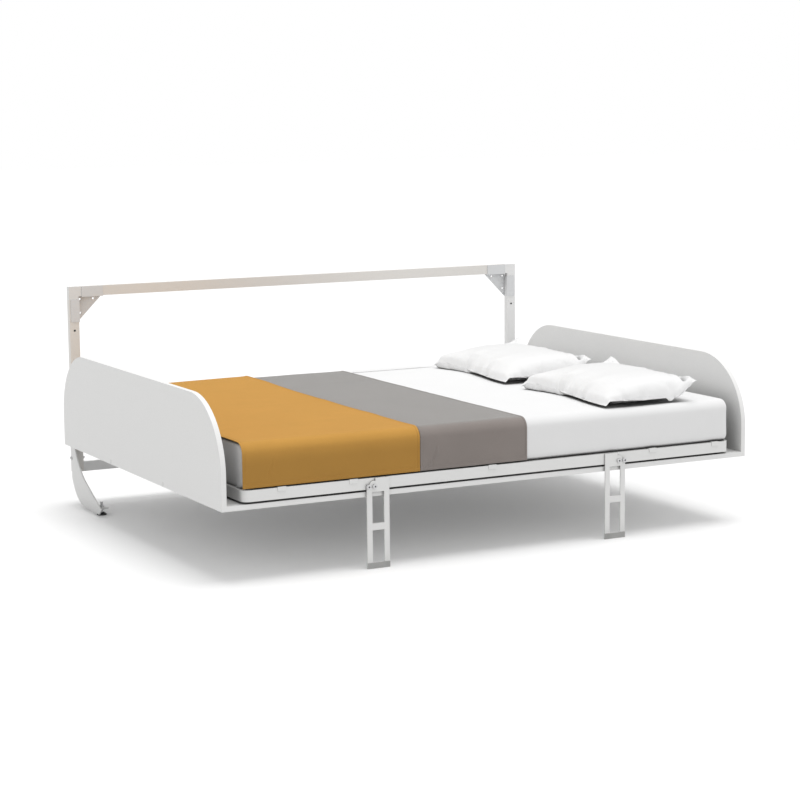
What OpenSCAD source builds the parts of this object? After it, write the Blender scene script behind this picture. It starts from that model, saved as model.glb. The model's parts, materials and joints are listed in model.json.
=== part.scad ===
// Side-opening wall bed. A tube frame screwed to the wall stands on two curved plate feet
// and carries the bed on two lengthwise pivots. Gas struts help the bed up against the wall,
// and two ladder-shaped legs swing down under its front rail when it is open.
// X runs along the bed, Y points to the wall and Z up. The origin is on the floor, in the
// middle of the footprint. Depths below are counted from the wall, into the room as minus.

/* [Mattress] */
// Mattress length
mattress_l = 2000; // [1600:10:2400]
// Mattress width, from the wall side to the front
mattress_w = 1500; // [1320:10:1800]
// Mattress thickness
mattress_h = 158; // [120:1:190]
// Rounding of the mattress's upper edges
mattress_top_r = 35; // [15:1:40]
// Rounding of the mattress's lower edges
mattress_low_r = 12; // [8:1:16]

/* [Bed frame] */
// Height of the frame's rectangular tube
rail_h = 40; // [34:1:50]
// Thickness of the frame's rectangular tube, seen from above
rail_t = 25; // [20:1:30]
// Wall of all the rectangular tubes
tube_wall = 2; // [1.5:0.1:2.4]
// Outer radius of the frame's corner pieces
corner_r = 28; // [26:1:34]
// Gap between the mattress's ends and the frame's outer face
end_margin = 8; // [6:1:12]
// How far the front rail stands in front of the mattress
front_margin = 6; // [5:1:8]
// How far the rear rail stands behind the mattress
rear_margin = 10; // [6:1:14]
// Number of slats in each of the two rows
slat_count = 13; // [9:1:15]
// Width of a slat
slat_w = 68; // [50:1:78]
// Thickness of a slat
slat_t = 9; // [7:1:11]
// Width of a mattress clip on the front rail
clip_w = 32; // [24:1:40]
// How far a clip reaches down the front rail's face
clip_drop = 13; // [10:1:18]

/* [Panels] */
// Thickness of the boards and side panels
board_t = 18; // [15:1:22]
// Joint between neighbouring boards
board_joint = 3; // [2:0.5:5]
// Gap between the boards and the frame above them
spacer_h = 8; // [6:1:12]
// How far the boards reach behind the rear rail
rear_overhang = 99; // [80:1:110]
// How far the boards' front edge stays behind the front rail
front_setback = 4; // [2:1:8]
// Gap between the frame's ends and the side panels
panel_gap = 58; // [54:1:70]
// Height of the side panels above the boards
panel_h = 360; // [320:5:420]
// Radius of a side panel's front upper corner
panel_front_r = 262; // [200:1:310]
// Radius of a side panel's rear upper corner
panel_rear_r = 245; // [200:1:260]

/* [Height and pivot] */
// Floor to the underside of the boards
board_z = 254; // [240:1:300]
// Pivot height above the frame's upper edge
pivot_rise = 30; // [28:1:36]
// Gap left between the folded side panels and the wall
closed_gap = 6; // [5:1:20]
// Wall to the boards' rear edge
wall_gap = 46; // [44:1:56]
// Diameter of the pivot pins
pin_d = 16; // [12:1:18]
// Radial running clearance of pins in their bores
run_gap = 0.08; // [0.05:0.01:0.1]

/* [Wall frame] */
// Width of the wall frame's tube, seen from the front
post_w = 40; // [34:1:44]
// Depth of the wall frame's tube
post_d = 25; // [22:1:30]
// Floor to the wall frame's upper edge
wall_top = 885; // [800:5:1000]
// Floor to the wall frame's lower edge
wall_low = 133; // [120:1:150]
// Clear space between a post and the side panel beside it
post_clear = 26; // [24:1:32]
// Side of the square corner blocks
block_w = 53; // [48:1:60]
// Length of a corner bracket's lips, from the corner block
lip_l = 90; // [80:1:120]
// Sheet thickness of the corner brackets
bracket_t = 2.5; // [2:0.5:4]
// Radius of the holes for wall screws
wall_hole_r = 4.5; // [3.5:0.5:5.5]
// Floor to the upper wall screws in the posts
upper_hole_z = 708; // [650:1:715]
// Floor to the lower wall screws in the posts
lower_hole_z = 495; // [490:5:560]

/* [Feet] */
// Thickness of the foot plates
blade_t = 5; // [4:0.5:6]
// Running gap between a foot plate and the boards' rear edge
blade_gap = 4; // [4:0.5:10]
// Wall to the tip of the foot plates
blade_reach = 345; // [320:5:400]
// Slope of the straight part of a foot plate's upper edge
blade_slope = 0.47; // [0.4:0.01:0.5]
// Wall to the levelling feet
foot_reach = 281; // [260:1:290]
// Radius of a levelling pad
pad_r = 19; // [16:1:21]

/* [Front legs] */
// Width of a front leg
leg_w = 87; // [76:1:100]
// Thickness of a front leg's plate
leg_t = 5; // [4:0.5:6]
// Width of a leg's upright bars
leg_bar = 20; // [16:1:24]
// Height of a leg's middle rung
leg_rung = 24; // [18:1:30]
// Outer edge of the left leg, left of the middle
left_leg_x = 544; // [450:1:600]
// Outer edge of the right leg, right of the middle
right_leg_x = 527; // [450:1:600]
// Pivot bolt to a leg's outer edge
leg_edge = 29; // [27:1:32]
// Pivot bolt to the stop pin beside it
stop_x = 24; // [22:0.5:26]
// Pivot bolt above the frame's lower edge
leg_rise = 11; // [10:1:14]

/* [Gas struts] */
// Wall to the strut's wall pivot
strut_y = 50; // [46:1:60]
// Floor to the strut's wall pivot
strut_z = 440; // [420:1:460]
// Bed end of the strut behind the bed's pivot
crank_y = 70; // [60:1:76]
// Bed end of the strut below the bed's pivot
crank_z = 10; // [6:1:16]
// Radius of the strut's cylinder
strut_r = 11; // [9:0.5:11]

/* [Bedding] */
// Thickness of the fitted sheet
sheet_t = 1.5; // [1:0.1:2]
// Thickness of the blanket
blanket_t = 2; // [1:0.1:2]
// Thickness of the bedspread
spread_t = 2.5; // [1:0.1:2.5]
// Length of bed that the bedspread covers, from the left end
spread_w = 670; // [500:10:800]
// Length of bed that the blanket covers, beside the bedspread
blanket_w = 440; // [300:10:500]
// Height of the bedding's hem above the rails
hem_z = 6; // [4:1:12]
// Pillow length, along the bed
pillow_l = 420; // [380:5:480]
// Pillow width, across the bed
pillow_w = 630; // [480:5:660]
// Pillow thickness
pillow_h = 106; // [80:1:112]

/* [Hidden] */
$fn = 48;

// Colours
white_paint = [0.93, 0.93, 0.92];
white_board = [0.95, 0.95, 0.94];
bright_steel = [0.72, 0.72, 0.73];
dark_plastic = [0.13, 0.13, 0.14];

// Overrun of a cut past the face it opens
cut = 1;
// Gap between flat faces that pass each other on different bodies
pass_gap = 0.5;
// Gap between a round face and what it rests on, on different bodies
rest_gap = 0.3;
// Gap round a bolt or a bush in its hole, on one body
fit_gap = 0.05;

// Heights
board_top = board_z + board_t;
rail_z = board_top + spacer_h;
rail_top = rail_z + rail_h;
pivot_z = rail_top + pivot_rise;
panel_top = board_top + panel_h;

// Lengths from the middle
frame_x = mattress_l / 2 + end_margin;
panel_x = frame_x + panel_gap;
post_x = panel_x - post_clear;

// Spigots of the corner pieces, in the ends of the tubes
spigot_l = 30;

// Depths from the wall, into the room as minus
frame_rear = -(wall_gap + rear_overhang);
mattress_rear = frame_rear - rear_margin;
mattress_front = mattress_rear - mattress_w;
frame_front = mattress_front - front_margin;
board_rear = -wall_gap;
board_front_y = frame_front + front_setback;
board_w = (board_rear - board_front_y - 2 * board_joint) / 3;
pivot_y = -(panel_top - pivot_z + closed_gap);

// Front legs
washer_t = 2.5;
leg_back = frame_front - washer_t;
leg_face = leg_back - leg_t;
foot_wall = 2;
foot_h = 21;
leg_bolt_r = 6;
stop_r = 4;
leg_head_r = 8.5;
leg_head_h = 7;
leg_pivot_z = rail_z + leg_rise;
leg_drop = rail_h - leg_rise;
leg_head_low = rail_top - 49 - leg_pivot_z;
rung_z = 136 - leg_pivot_z;
front_y = leg_face - pass_gap - leg_head_h;
left_pivot_x = -left_leg_x + leg_edge;
right_pivot_x = right_leg_x - leg_edge;

// The wall lies half the whole depth behind the origin
wall_y = -front_y / 2;

// Hinge arms, pivot plates and pins
arm_t = 6;
arm_boss_r = 30;
arm_h = 90;
arm_bolt_gap = 56;
arm_bolt_zs = [pivot_z - arm_bolt_gap / 2, pivot_z + arm_bolt_gap / 2];
plate_t = 6;
plate_rear = frame_rear - corner_r - 7;
plate_front = pivot_y - 112;
bush_r = pin_d / 2 + 3;
m8_r = 4;
m8_head_r = 6.5;
m8_head_h = 5;
m8_nut_h = 6.5;
plate_bolt_ys = [plate_front + 20, plate_front + 70, plate_rear - 32];
pin_head_t = 4;
pin_washer_t = 2;
pin_nut_t = 7;

// Gas struts: the wall pivot and the bed end
strut_x = frame_x + plate_t + 2 + strut_r;
anchor = [-strut_y, strut_z];
crank = [pivot_y + crank_y, pivot_z - crank_z];
strut_l = norm(crank - anchor);
strut_angle = atan2(anchor.y - crank.y, anchor.x - crank.x);
eye_r = 10;
eye_t = 12;
stud_r = 4;
tube_start = 13;
tube_end_gap = 42;
gland_l = 10;
piston_l = 8;
rod_r = 4;
tube_l = strut_l - tube_start - tube_end_gap;
ear_t = 4;
ear_gap = 3;
ear_x = strut_x + eye_t / 2 + ear_gap;
base_t = 3;
bracket_screw_r = 2.5;
bracket_screw_zs = [strut_z - 20, strut_z + 20];

// Corner brackets
lip_z = wall_top - block_w - lip_l;
lip_x = post_x - block_w - lip_l;
lip_inset = 6;
gusset_x = post_x - post_w - bracket_t;
gusset_z = wall_top - post_w - bracket_t;
gusset_hole_r = 4;
gusset_near = 10;
gusset_far = 66;
gusset_holes = [
    [gusset_x - gusset_near, gusset_z - gusset_near],
    [gusset_x - gusset_far, gusset_z - gusset_near],
    [gusset_x - gusset_near, gusset_z - gusset_far]
];

// Feet
blade_r = norm([board_rear - pivot_y, board_z - pivot_z]) + blade_gap;
blade_top = 290;
blade_inset = 1;
blade_start = -asin((pivot_z - blade_top) / blade_r);
blade_end = atan(blade_slope) - 90;
tangent = [pivot_y, pivot_z] + blade_r * [cos(blade_end), sin(blade_end)];
tip_z = tangent.y - blade_slope * (tangent.x + blade_reach);
tip_l = 24;
tip_low = 9;
heel_y = -9;
heel_top = [heel_y, 108];
heel_low = [-120, 15];
heel_bulge = 16;
heel_half = norm(heel_top - heel_low) / 2;
heel_r = (heel_half * heel_half + heel_bulge * heel_bulge) / (2 * heel_bulge);
heel_dir = atan2(heel_top.y - heel_low.y, heel_top.x - heel_low.x);
heel_centre = (heel_top + heel_low) / 2 + (heel_r - heel_bulge) * [-sin(heel_dir), cos(heel_dir)];
heel_span = asin(heel_half / heel_r);
blade_bolt_z = 190;
shelf_z = 26;
screw_r = 5;
pad_h = 8;
nut_r = 9.5;
nut_h = 8;
foot_x = post_x - 21;

// Inside the bed frame
beam_h = rail_h - 4;
beam_t = 30;
beam_y = (frame_front + frame_rear) / 2;
row_front = [frame_front + rail_t, beam_y - beam_t / 2];
row_rear = [beam_y + beam_t / 2, frame_rear - rail_t];
cross_t = 25;
cross_h = 25;
slat_pitch = 2 * (frame_x - rail_t) / slat_count;
slat_xs = [for (i = [0:slat_count - 1]) (i + 0.5 - slat_count / 2) * slat_pitch];
cross_xs = [for (i = [-4.5, -1.5, 1.5, 4.5]) i * slat_pitch];
slat_z = rail_top - slat_t - pass_gap;
holder_l = 24;
holder_wall = 3;
clip_xs = [for (share = [-0.864, -0.592, -0.037, 0.655, 0.94]) share * mattress_l / 2];
clip_t = 2.5;
clip_top_l = 8;

// Boards
spacer_r = 8;
spacer_ys = [
    frame_front + rail_t / 2,
    board_front_y + board_w - 60,
    board_front_y + board_w + board_joint + 60,
    board_front_y + 2 * board_w + board_joint - 60,
    board_front_y + 2 * (board_w + board_joint) + 60,
    frame_rear - rail_t / 2
];
angle_l = 30;
angle_h = 36;
angle_t = 3;
angle_ys = [
    for (i = [0:2], side = [-1, 1]) board_front_y + board_w / 2 + i * (board_w + board_joint) + side * 140
];

// Bedding
mattress_top = rail_top + mattress_h;
spread_x = -mattress_l / 2 + spread_w;
blanket_x = spread_x + blanket_w;
pillow_z = mattress_top + sheet_t + rest_gap;
back_pillow_x = mattress_l / 2 - 525;
back_pillow_y = mattress_rear - 98;
front_pillow_x = mattress_l / 2 - 545;
front_pillow_y = mattress_front + 22 + pillow_w;

// ---- helpers ----

// Moves what is measured from the wall into the frame of the whole bed
module from_wall() translate([0, wall_y, 0]) children();

// Draws a thing on the right and its mirror image on the left
module both_sides() {
    children();
    mirror([1, 0, 0]) children();
}

// A box between two corners
module box(low, high) translate(low) cube(high - low);

// Rectangular tubes between two corners, open at both ends
module tube_x(low, high) difference() {
    box(low, high);
    box(low + [-cut, tube_wall, tube_wall], high + [cut, -tube_wall, -tube_wall]);
}
module tube_y(low, high) difference() {
    box(low, high);
    box(low + [tube_wall, -cut, tube_wall], high + [-tube_wall, cut, -tube_wall]);
}
module tube_z(low, high) difference() {
    box(low, high);
    box(low + [tube_wall, tube_wall, -cut], high + [-tube_wall, -tube_wall, cut]);
}

// Round bars along each axis, from the first place to the second
module bar_x(x0, x1, y, z, r) translate([x0, y, z]) rotate([0, 90, 0]) cylinder(r = r, h = x1 - x0);
module bar_y(y0, y1, x, z, r) translate([x, y1, z]) rotate([90, 0, 0]) cylinder(r = r, h = y1 - y0);
module bar_z(z0, z1, x, y, r) translate([x, y, z0]) cylinder(r = r, h = z1 - z0);

// A hexagonal prism along X
module hex_x(x0, h, y, z, r) translate([x0, y, z]) rotate([0, 90, 0]) cylinder(r = r, h = h, $fn = 6);

// Plates whose outline lies in the depth and height plane, or the length and height plane
module plate_x(x0, t) translate([x0, 0, 0]) rotate([90, 0, 90]) linear_extrude(t) children();
module plate_y(y0, t) translate([0, y0 + t, 0]) rotate([90, 0, 0]) linear_extrude(t) children();

// A flat rectangle between two corners
module flat(low, high) translate(low) square(high - low);

// What rounding takes off a square corner, towards the side that sx and sy point to
module corner_waste(r, sx, sy) difference() {
    translate([sx > 0 ? -r : -cut, sy > 0 ? -r : -cut]) square(r + cut);
    translate([-sx * r, -sy * r]) circle(r = r, $fn = 96);
}

// Points along an arc about a centre
function arc(centre, r, from, to, steps = 20) =
    [for (i = [0:steps]) let (a = from + (to - from) * i / steps) centre + r * [cos(a), sin(a)]];

// ---- wall frame ----

module post() difference() {
    tube_z([post_x - post_w, -post_d, wall_low], [post_x, 0, wall_top - block_w]);
    for (z = [lower_hole_z, upper_hole_z])
        bar_y(-post_d - cut, cut, post_x - post_w / 2, z, wall_hole_r);
    for (z = arm_bolt_zs) bar_x(post_x - post_w - cut, post_x + cut, -post_d / 2, z, m8_r + fit_gap);
    bar_x(post_x - post_w - cut, post_x + cut, -post_d / 2, blade_bolt_z, m8_r + fit_gap);
    for (z = bracket_screw_zs) bar_y(-post_d - cut, -post_d / 2, strut_x, z, bracket_screw_r);
}

module left_post() color(white_paint) from_wall() mirror([1, 0, 0]) post();
module right_post() color(white_paint) from_wall() post();

module top_rail() color(white_paint) from_wall()
    tube_x([-post_x + block_w, -post_d, wall_top - post_w], [post_x - block_w, 0, wall_top]);

module lower_rail() color(white_paint) from_wall()
    tube_x([-post_x + post_w, -post_d, wall_low], [post_x - post_w, 0, wall_low + post_w]);

// A block at the frame's upper corner, with a spigot into the post and one into the rail
module corner_block() {
    spigot = tube_wall + pass_gap;
    box([post_x - post_w, -post_d, wall_top - block_w], [post_x, 0, wall_top]);
    box([post_x - block_w, -post_d, wall_top - post_w], [post_x - post_w, 0, wall_top]);
    box([post_x - post_w + spigot, spigot - post_d, wall_top - block_w - spigot_l],
        [post_x - spigot, -spigot, wall_top - block_w]);
    box([post_x - block_w - spigot_l, spigot - post_d, wall_top - post_w + spigot],
        [post_x - block_w, -spigot, wall_top - spigot]);
}

module corner_block_left() color(white_paint) from_wall() mirror([1, 0, 0]) corner_block();
module corner_block_right() color(white_paint) from_wall() corner_block();

// A folded sheet bracket: a triangle against the wall, webs along post and rail, and lips
// over the front of both
module corner_bracket() {
    inner_x = post_x - post_w;
    inner_z = wall_top - post_w;
    block_x = post_x - block_w;
    block_z = wall_top - block_w;
    difference() {
        plate_y(-bracket_t, bracket_t)
            polygon([[gusset_x, gusset_z], [lip_x, gusset_z], [gusset_x, lip_z]]);
        for (p = gusset_holes) bar_y(-bracket_t - cut, cut, p.x, p.y, gusset_hole_r);
    }
    // webs
    box([gusset_x, -post_d - bracket_t, lip_z], [inner_x, 0, block_z]);
    box([lip_x, -post_d - bracket_t, gusset_z], [block_x, 0, inner_z]);
    // lips
    box([gusset_x, -post_d - bracket_t, lip_z], [post_x - lip_inset, -post_d, block_z]);
    box([lip_x, -post_d - bracket_t, gusset_z], [block_x, -post_d, wall_top - 1]);
}

module corner_bracket_left() color(white_paint) from_wall() mirror([1, 0, 0]) corner_bracket();
module corner_bracket_right() color(white_paint) from_wall() corner_bracket();

// ---- feet ----

// The plate's upper edge follows the swing of the boards' rear edge, then runs straight to
// the tip; its heel is an arc
module blade_outline() polygon(concat(
    [[-blade_inset, blade_top]],
    arc([pivot_y, pivot_z], blade_r, blade_start, blade_end, 28),
    [[-blade_reach, tip_z], [-blade_reach + tip_l, tip_low]],
    arc(heel_centre, heel_r, heel_dir - 90 - heel_span, heel_dir - 90 + heel_span, 20),
    [[heel_y, wall_low], [-blade_inset, wall_low]]
));

module foot_blade() {
    difference() {
        plate_x(post_x, blade_t) blade_outline();
        bar_x(post_x - cut, post_x + blade_t + cut, -post_d / 2, blade_bolt_z, m8_r + fit_gap);
    }
    // shelf folded in over the levelling foot
    difference() {
        box([foot_x - 20, -foot_reach - 22, shelf_z], [post_x, -foot_reach + 22, shelf_z + blade_t]);
        bar_z(shelf_z - cut, shelf_z + blade_t + cut, foot_x, -foot_reach, screw_r + fit_gap);
    }
}

module foot_blade_left() color(white_paint) from_wall() mirror([1, 0, 0]) foot_blade();
module foot_blade_right() color(white_paint) from_wall() foot_blade();

// A button-head bolt along X, head outwards, with a hexagon socket and a nut at its far end
module bolt_x(x_nut, x_head, y, z) {
    difference() {
        union() {
            bar_x(x_nut - m8_nut_h - 1.5, x_head, y, z, m8_r);
            bar_x(x_head, x_head + m8_head_h, y, z, m8_head_r);
        }
        hex_x(x_head + m8_head_h - 2.5, 2.5 + cut, y, z, 2.9);
    }
    difference() {
        hex_x(x_nut - m8_nut_h, m8_nut_h, y, z, 7.5);
        bar_x(x_nut - m8_nut_h - cut, x_nut + cut, y, z, m8_r + fit_gap);
    }
}

module blade_bolts() color(bright_steel) from_wall() both_sides()
    bolt_x(post_x - post_w, post_x + blade_t, -post_d / 2, blade_bolt_z);

module levelling_screws() color(bright_steel) from_wall() both_sides()
    bar_z(pad_h - 3, shelf_z + blade_t + nut_h + 14, foot_x, -foot_reach, screw_r);

module hex_nut(z) difference() {
    translate([foot_x, -foot_reach, z]) cylinder(r = nut_r, h = nut_h, $fn = 6);
    bar_z(z - cut, z + nut_h + cut, foot_x, -foot_reach, screw_r + fit_gap);
}
module levelling_nuts() color(bright_steel) from_wall() both_sides() {
    hex_nut(shelf_z - nut_h);
    hex_nut(shelf_z + blade_t);
}

module levelling_pads() color(dark_plastic) from_wall() both_sides()
    difference() {
        union() {
            bar_z(0, 4, foot_x, -foot_reach, pad_r);
            translate([foot_x, -foot_reach, 4]) cylinder(r1 = pad_r, r2 = 9, h = pad_h - 1);
        }
        bar_z(pad_h - 3, pad_h + 4, foot_x, -foot_reach, screw_r + fit_gap);
    }

// ---- hinge arms ----

// A plate on the post's outer face that reaches forward to the bed's pivot
module hinge_arm() difference() {
    union() {
        plate_x(post_x, arm_t)
            polygon([[0, pivot_z - arm_h / 2], [-post_d - 5, pivot_z - arm_h / 2],
                [pivot_y + 8, pivot_z - arm_boss_r + 3], [pivot_y + 8, pivot_z + arm_boss_r - 3],
                [-post_d - 5, pivot_z + arm_h / 2], [0, pivot_z + arm_h / 2]]);
        bar_x(post_x, post_x + arm_t, pivot_y, pivot_z, arm_boss_r);
    }
    bar_x(post_x - cut, post_x + arm_t + cut, pivot_y, pivot_z, bush_r + fit_gap);
    for (z = arm_bolt_zs) bar_x(post_x - cut, post_x + arm_t + cut, -post_d / 2, z, m8_r + fit_gap);
}

module hinge_arm_left() color(white_paint) from_wall() mirror([1, 0, 0]) hinge_arm();
module hinge_arm_right() color(white_paint) from_wall() hinge_arm();

module arm_bolts() color(bright_steel) from_wall() both_sides()
    for (z = arm_bolt_zs) bolt_x(post_x - post_w, post_x + arm_t, -post_d / 2, z);

module pivot_bushes() color("goldenrod") from_wall() both_sides()
    difference() {
        bar_x(post_x, post_x + arm_t, pivot_y, pivot_z, bush_r);
        bar_x(post_x - cut, post_x + arm_t + cut, pivot_y, pivot_z, pin_d / 2 + run_gap);
    }

// ---- gas struts ----

// A bracket on the post's front face with an outer ear and a stud towards the bed
module strut_bracket() {
    difference() {
        box([post_x - post_w + 3, -post_d - base_t, strut_z - 30], [ear_x + ear_t, -post_d, strut_z + 30]);
        for (z = bracket_screw_zs)
            bar_y(-post_d - base_t - cut, -post_d + cut, strut_x, z, bracket_screw_r + rest_gap);
    }
    box([ear_x, -strut_y, strut_z - eye_r - 2], [ear_x + ear_t, -post_d - base_t, strut_z + eye_r + 2]);
    bar_x(ear_x, ear_x + ear_t, -strut_y, strut_z, eye_r + 2);
    bar_x(strut_x - eye_t / 2 - 3.5, ear_x, -strut_y, strut_z, stud_r);
    bar_x(strut_x - eye_t / 2 - 3.5, strut_x - eye_t / 2 - pass_gap, -strut_y, strut_z, stud_r + 2.5);
}
module strut_brackets() color(bright_steel) from_wall() both_sides() strut_bracket();

module strut_bracket_screws() color(bright_steel) from_wall() both_sides()
    for (z = bracket_screw_zs) {
        bar_y(-post_d - base_t, -post_d + 8, strut_x, z, bracket_screw_r - fit_gap);
        bar_y(-post_d - base_t - 3, -post_d - base_t, strut_x, z, 5);
    }

// Puts what lies along -Y from the wall pivot on the strut's line
module along_strut() translate([0, anchor.x, anchor.y]) rotate([strut_angle, 0, 0]) children();

module strut_cylinder() along_strut() {
    difference() {
        union() {
            bar_x(strut_x - eye_t / 2, strut_x + eye_t / 2, 0, 0, eye_r);
            box([strut_x - eye_t / 2, -tube_start, -6], [strut_x + eye_t / 2, 0, 6]);
        }
        bar_x(strut_x - eye_t / 2 - cut, strut_x + eye_t / 2 + cut, 0, 0, stud_r + run_gap);
    }
    difference() {
        bar_y(-tube_start - tube_l, -tube_start, strut_x, 0, strut_r);
        bar_y(-tube_start - tube_l + gland_l, -tube_start - 5, strut_x, 0, strut_r - 1.5);
        bar_y(-tube_start - tube_l - cut, -tube_start - tube_l + gland_l + cut, strut_x, 0,
            rod_r + 2 * run_gap);
    }
}
module strut_cylinder_left() color(dark_plastic) from_wall() mirror([1, 0, 0]) strut_cylinder();
module strut_cylinder_right() color(dark_plastic) from_wall() strut_cylinder();

// The rod with its piston, and the end joint whose stud points at the bed's pivot plate
module strut_rod() along_strut() {
    bar_y(-strut_l + eye_r - 1, -tube_start - 12, strut_x, 0, rod_r);
    bar_y(-tube_start - 12 - piston_l, -tube_start - 12, strut_x, 0, strut_r - 1.5 - rest_gap);
    bar_x(strut_x - eye_t / 2, strut_x + eye_t / 2, -strut_l, 0, eye_r);
    bar_x(frame_x + plate_t + pass_gap, strut_x, -strut_l, 0, stud_r);
}
module strut_rod_left() color("silver") from_wall() mirror([1, 0, 0]) strut_rod();
module strut_rod_right() color("silver") from_wall() strut_rod();

// ---- bed frame ----

module front_rail() color(white_paint) from_wall() difference() {
    tube_x([-frame_x + corner_r, frame_front, rail_z], [frame_x - corner_r, frame_front + rail_t, rail_top]);
    for (x = [left_pivot_x, right_pivot_x])
        bar_y(frame_front - cut, frame_front + tube_wall + cut, x, leg_pivot_z, leg_bolt_r + fit_gap);
    for (x = [left_pivot_x - stop_x, right_pivot_x + stop_x])
        bar_y(frame_front - cut, frame_front + tube_wall + cut, x, leg_pivot_z, stop_r + fit_gap);
}

module rear_rail() color(white_paint) from_wall()
    tube_x([-frame_x + corner_r, frame_rear - rail_t, rail_z], [frame_x - corner_r, frame_rear, rail_top]);

module end_rail() difference() {
    tube_y([frame_x - rail_t, frame_front + corner_r, rail_z], [frame_x, frame_rear - corner_r, rail_top]);
    for (y = plate_bolt_ys)
        bar_x(frame_x - rail_t - cut, frame_x + cut, y, rail_z + rail_h / 2, m8_r + fit_gap);
}
module end_rail_left() color(white_paint) from_wall() mirror([1, 0, 0]) end_rail();
module end_rail_right() color(white_paint) from_wall() end_rail();

// A solid corner with a round outer edge and spigots into the two rails
module frame_corner() {
    spigot = tube_wall + pass_gap;
    inner = corner_r - rail_t;
    intersection() {
        cylinder(r = corner_r, h = rail_h, $fn = 96);
        box([0, 0, 0], [corner_r, corner_r, rail_h]);
    }
    box([-spigot_l, inner + spigot, spigot], [cut, corner_r - spigot, rail_h - spigot]);
    box([inner + spigot, -spigot_l, spigot], [corner_r - spigot, cut, rail_h - spigot]);
}
module frame_corners() color(white_paint) from_wall() both_sides() {
    translate([frame_x - corner_r, frame_rear - corner_r, rail_z]) frame_corner();
    translate([frame_x - corner_r, frame_front + corner_r, rail_z]) mirror([0, 1, 0]) frame_corner();
}

module centre_beam() color(white_paint) from_wall()
    tube_x([-frame_x + rail_t, beam_y - beam_t / 2, rail_z],
        [frame_x - rail_t, beam_y + beam_t / 2, rail_z + beam_h]);

// Cross members between the slats, in two halves that butt against the centre beam
module cross_members() color(white_paint) from_wall()
    for (x = cross_xs, row = [row_front, row_rear])
        tube_y([x - cross_t / 2, row.x, rail_z], [x + cross_t / 2, row.y, rail_z + cross_h]);

// Slats in two rows, held at their ends in sockets
module slats() color("burlywood") from_wall()
    for (x = slat_xs, row = [row_front, row_rear])
        box([x - slat_w / 2, row.x + holder_wall, slat_z],
            [x + slat_w / 2, row.y - holder_wall, slat_z + slat_t]);

// A socket from y0 to y1 whose closed side is at y0 or y1, as mouth says
module slat_holder(x, y0, mouth) {
    y1 = y0 + mouth * holder_l;
    difference() {
        box([x - slat_w / 2 - holder_wall, min(y0, y1), slat_z - holder_wall],
            [x + slat_w / 2 + holder_wall, max(y0, y1), slat_z + slat_t]);
        box([x - slat_w / 2, min(y0 + mouth * holder_wall, y1 + mouth * cut), slat_z],
            [x + slat_w / 2, max(y0 + mouth * holder_wall, y1 + mouth * cut), slat_z + slat_t + cut]);
    }
}
module slat_holders() color(dark_plastic) from_wall()
    for (x = slat_xs, row = [row_front, row_rear]) {
        slat_holder(x, row.x, 1);
        slat_holder(x, row.y, -1);
    }

// Clips hooked over the front rail, for the mattress
module mattress_clips() color(white_paint) from_wall()
    for (x = clip_xs) {
        box([x - clip_w / 2, frame_front - clip_t, rail_top - clip_drop],
            [x + clip_w / 2, frame_front, rail_top + clip_t]);
        box([x - clip_w / 2, frame_front, rail_top],
            [x + clip_w / 2, frame_front + clip_top_l, rail_top + clip_t]);
    }

// ---- boards and side panels ----

module board(i) {
    y0 = board_front_y + i * (board_w + board_joint);
    box([-panel_x - board_t, y0, board_z], [panel_x + board_t, y0 + board_w, board_top]);
}
module board_front() color(white_board) from_wall() board(0);
module board_middle() color(white_board) from_wall() board(1);
module board_rear() color(white_board) from_wall() board(2);

module side_panel() plate_x(panel_x, board_t) difference() {
    flat([board_front_y, board_top], [board_rear, panel_top]);
    translate([board_front_y, panel_top]) corner_waste(panel_front_r, -1, 1);
    translate([board_rear, panel_top]) corner_waste(panel_rear_r, 1, 1);
}
module side_panel_left() color(white_board) from_wall() mirror([1, 0, 0]) side_panel();
module side_panel_right() color(white_board) from_wall() side_panel();

// Spacers that hold the boards under the rails and the cross members
module board_spacers() color(dark_plastic) from_wall()
    for (x = cross_xs, y = spacer_ys) bar_z(board_top, rail_z, x, y, spacer_r);

// Angles that hold the side panels to the boards
module panel_brackets() color(bright_steel) from_wall() both_sides()
    for (y = angle_ys) {
        box([panel_x - angle_h, y - angle_l / 2, board_top],
            [panel_x, y + angle_l / 2, board_top + angle_t]);
        box([panel_x - angle_t, y - angle_l / 2, board_top + angle_t],
            [panel_x, y + angle_l / 2, board_top + angle_h]);
    }
module panel_screws() color(bright_steel) from_wall() both_sides()
    for (y = angle_ys) {
        bar_z(board_top + angle_t, board_top + angle_t + 2.5, panel_x - angle_h / 2 - 2, y, 4.5);
        bar_x(panel_x - angle_t - 2.5, panel_x - angle_t, y, board_top + angle_h / 2 + 3, 4.5);
    }

// ---- bed pivot ----

// A plate on the end rail that carries the pivot pin above it
module pivot_plate() difference() {
    x_end = frame_x + plate_t;
    union() {
        plate_x(frame_x, plate_t)
            polygon([[plate_front, rail_z], [plate_front, rail_top], [pivot_y - 75, rail_top],
                [pivot_y - 20, pivot_z + 15], [pivot_y + 20, pivot_z + 15], [crank.x + 13, crank.y + 4],
                [plate_rear, rail_top], [plate_rear, rail_z]]);
        bar_x(frame_x, x_end, pivot_y, pivot_z, arm_boss_r);
    }
    bar_x(frame_x - cut, x_end + cut, pivot_y, pivot_z, pin_d / 2 + fit_gap);
    for (y = plate_bolt_ys) bar_x(frame_x - cut, x_end + cut, y, rail_z + rail_h / 2, m8_r + fit_gap);
}
module pivot_plate_left() color(white_paint) from_wall() mirror([1, 0, 0]) pivot_plate();
module pivot_plate_right() color(white_paint) from_wall() pivot_plate();

module pivot_plate_bolts() color(bright_steel) from_wall() both_sides()
    for (y = plate_bolt_ys) bolt_x(frame_x - rail_t, frame_x + plate_t, y, rail_z + rail_h / 2);

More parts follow.
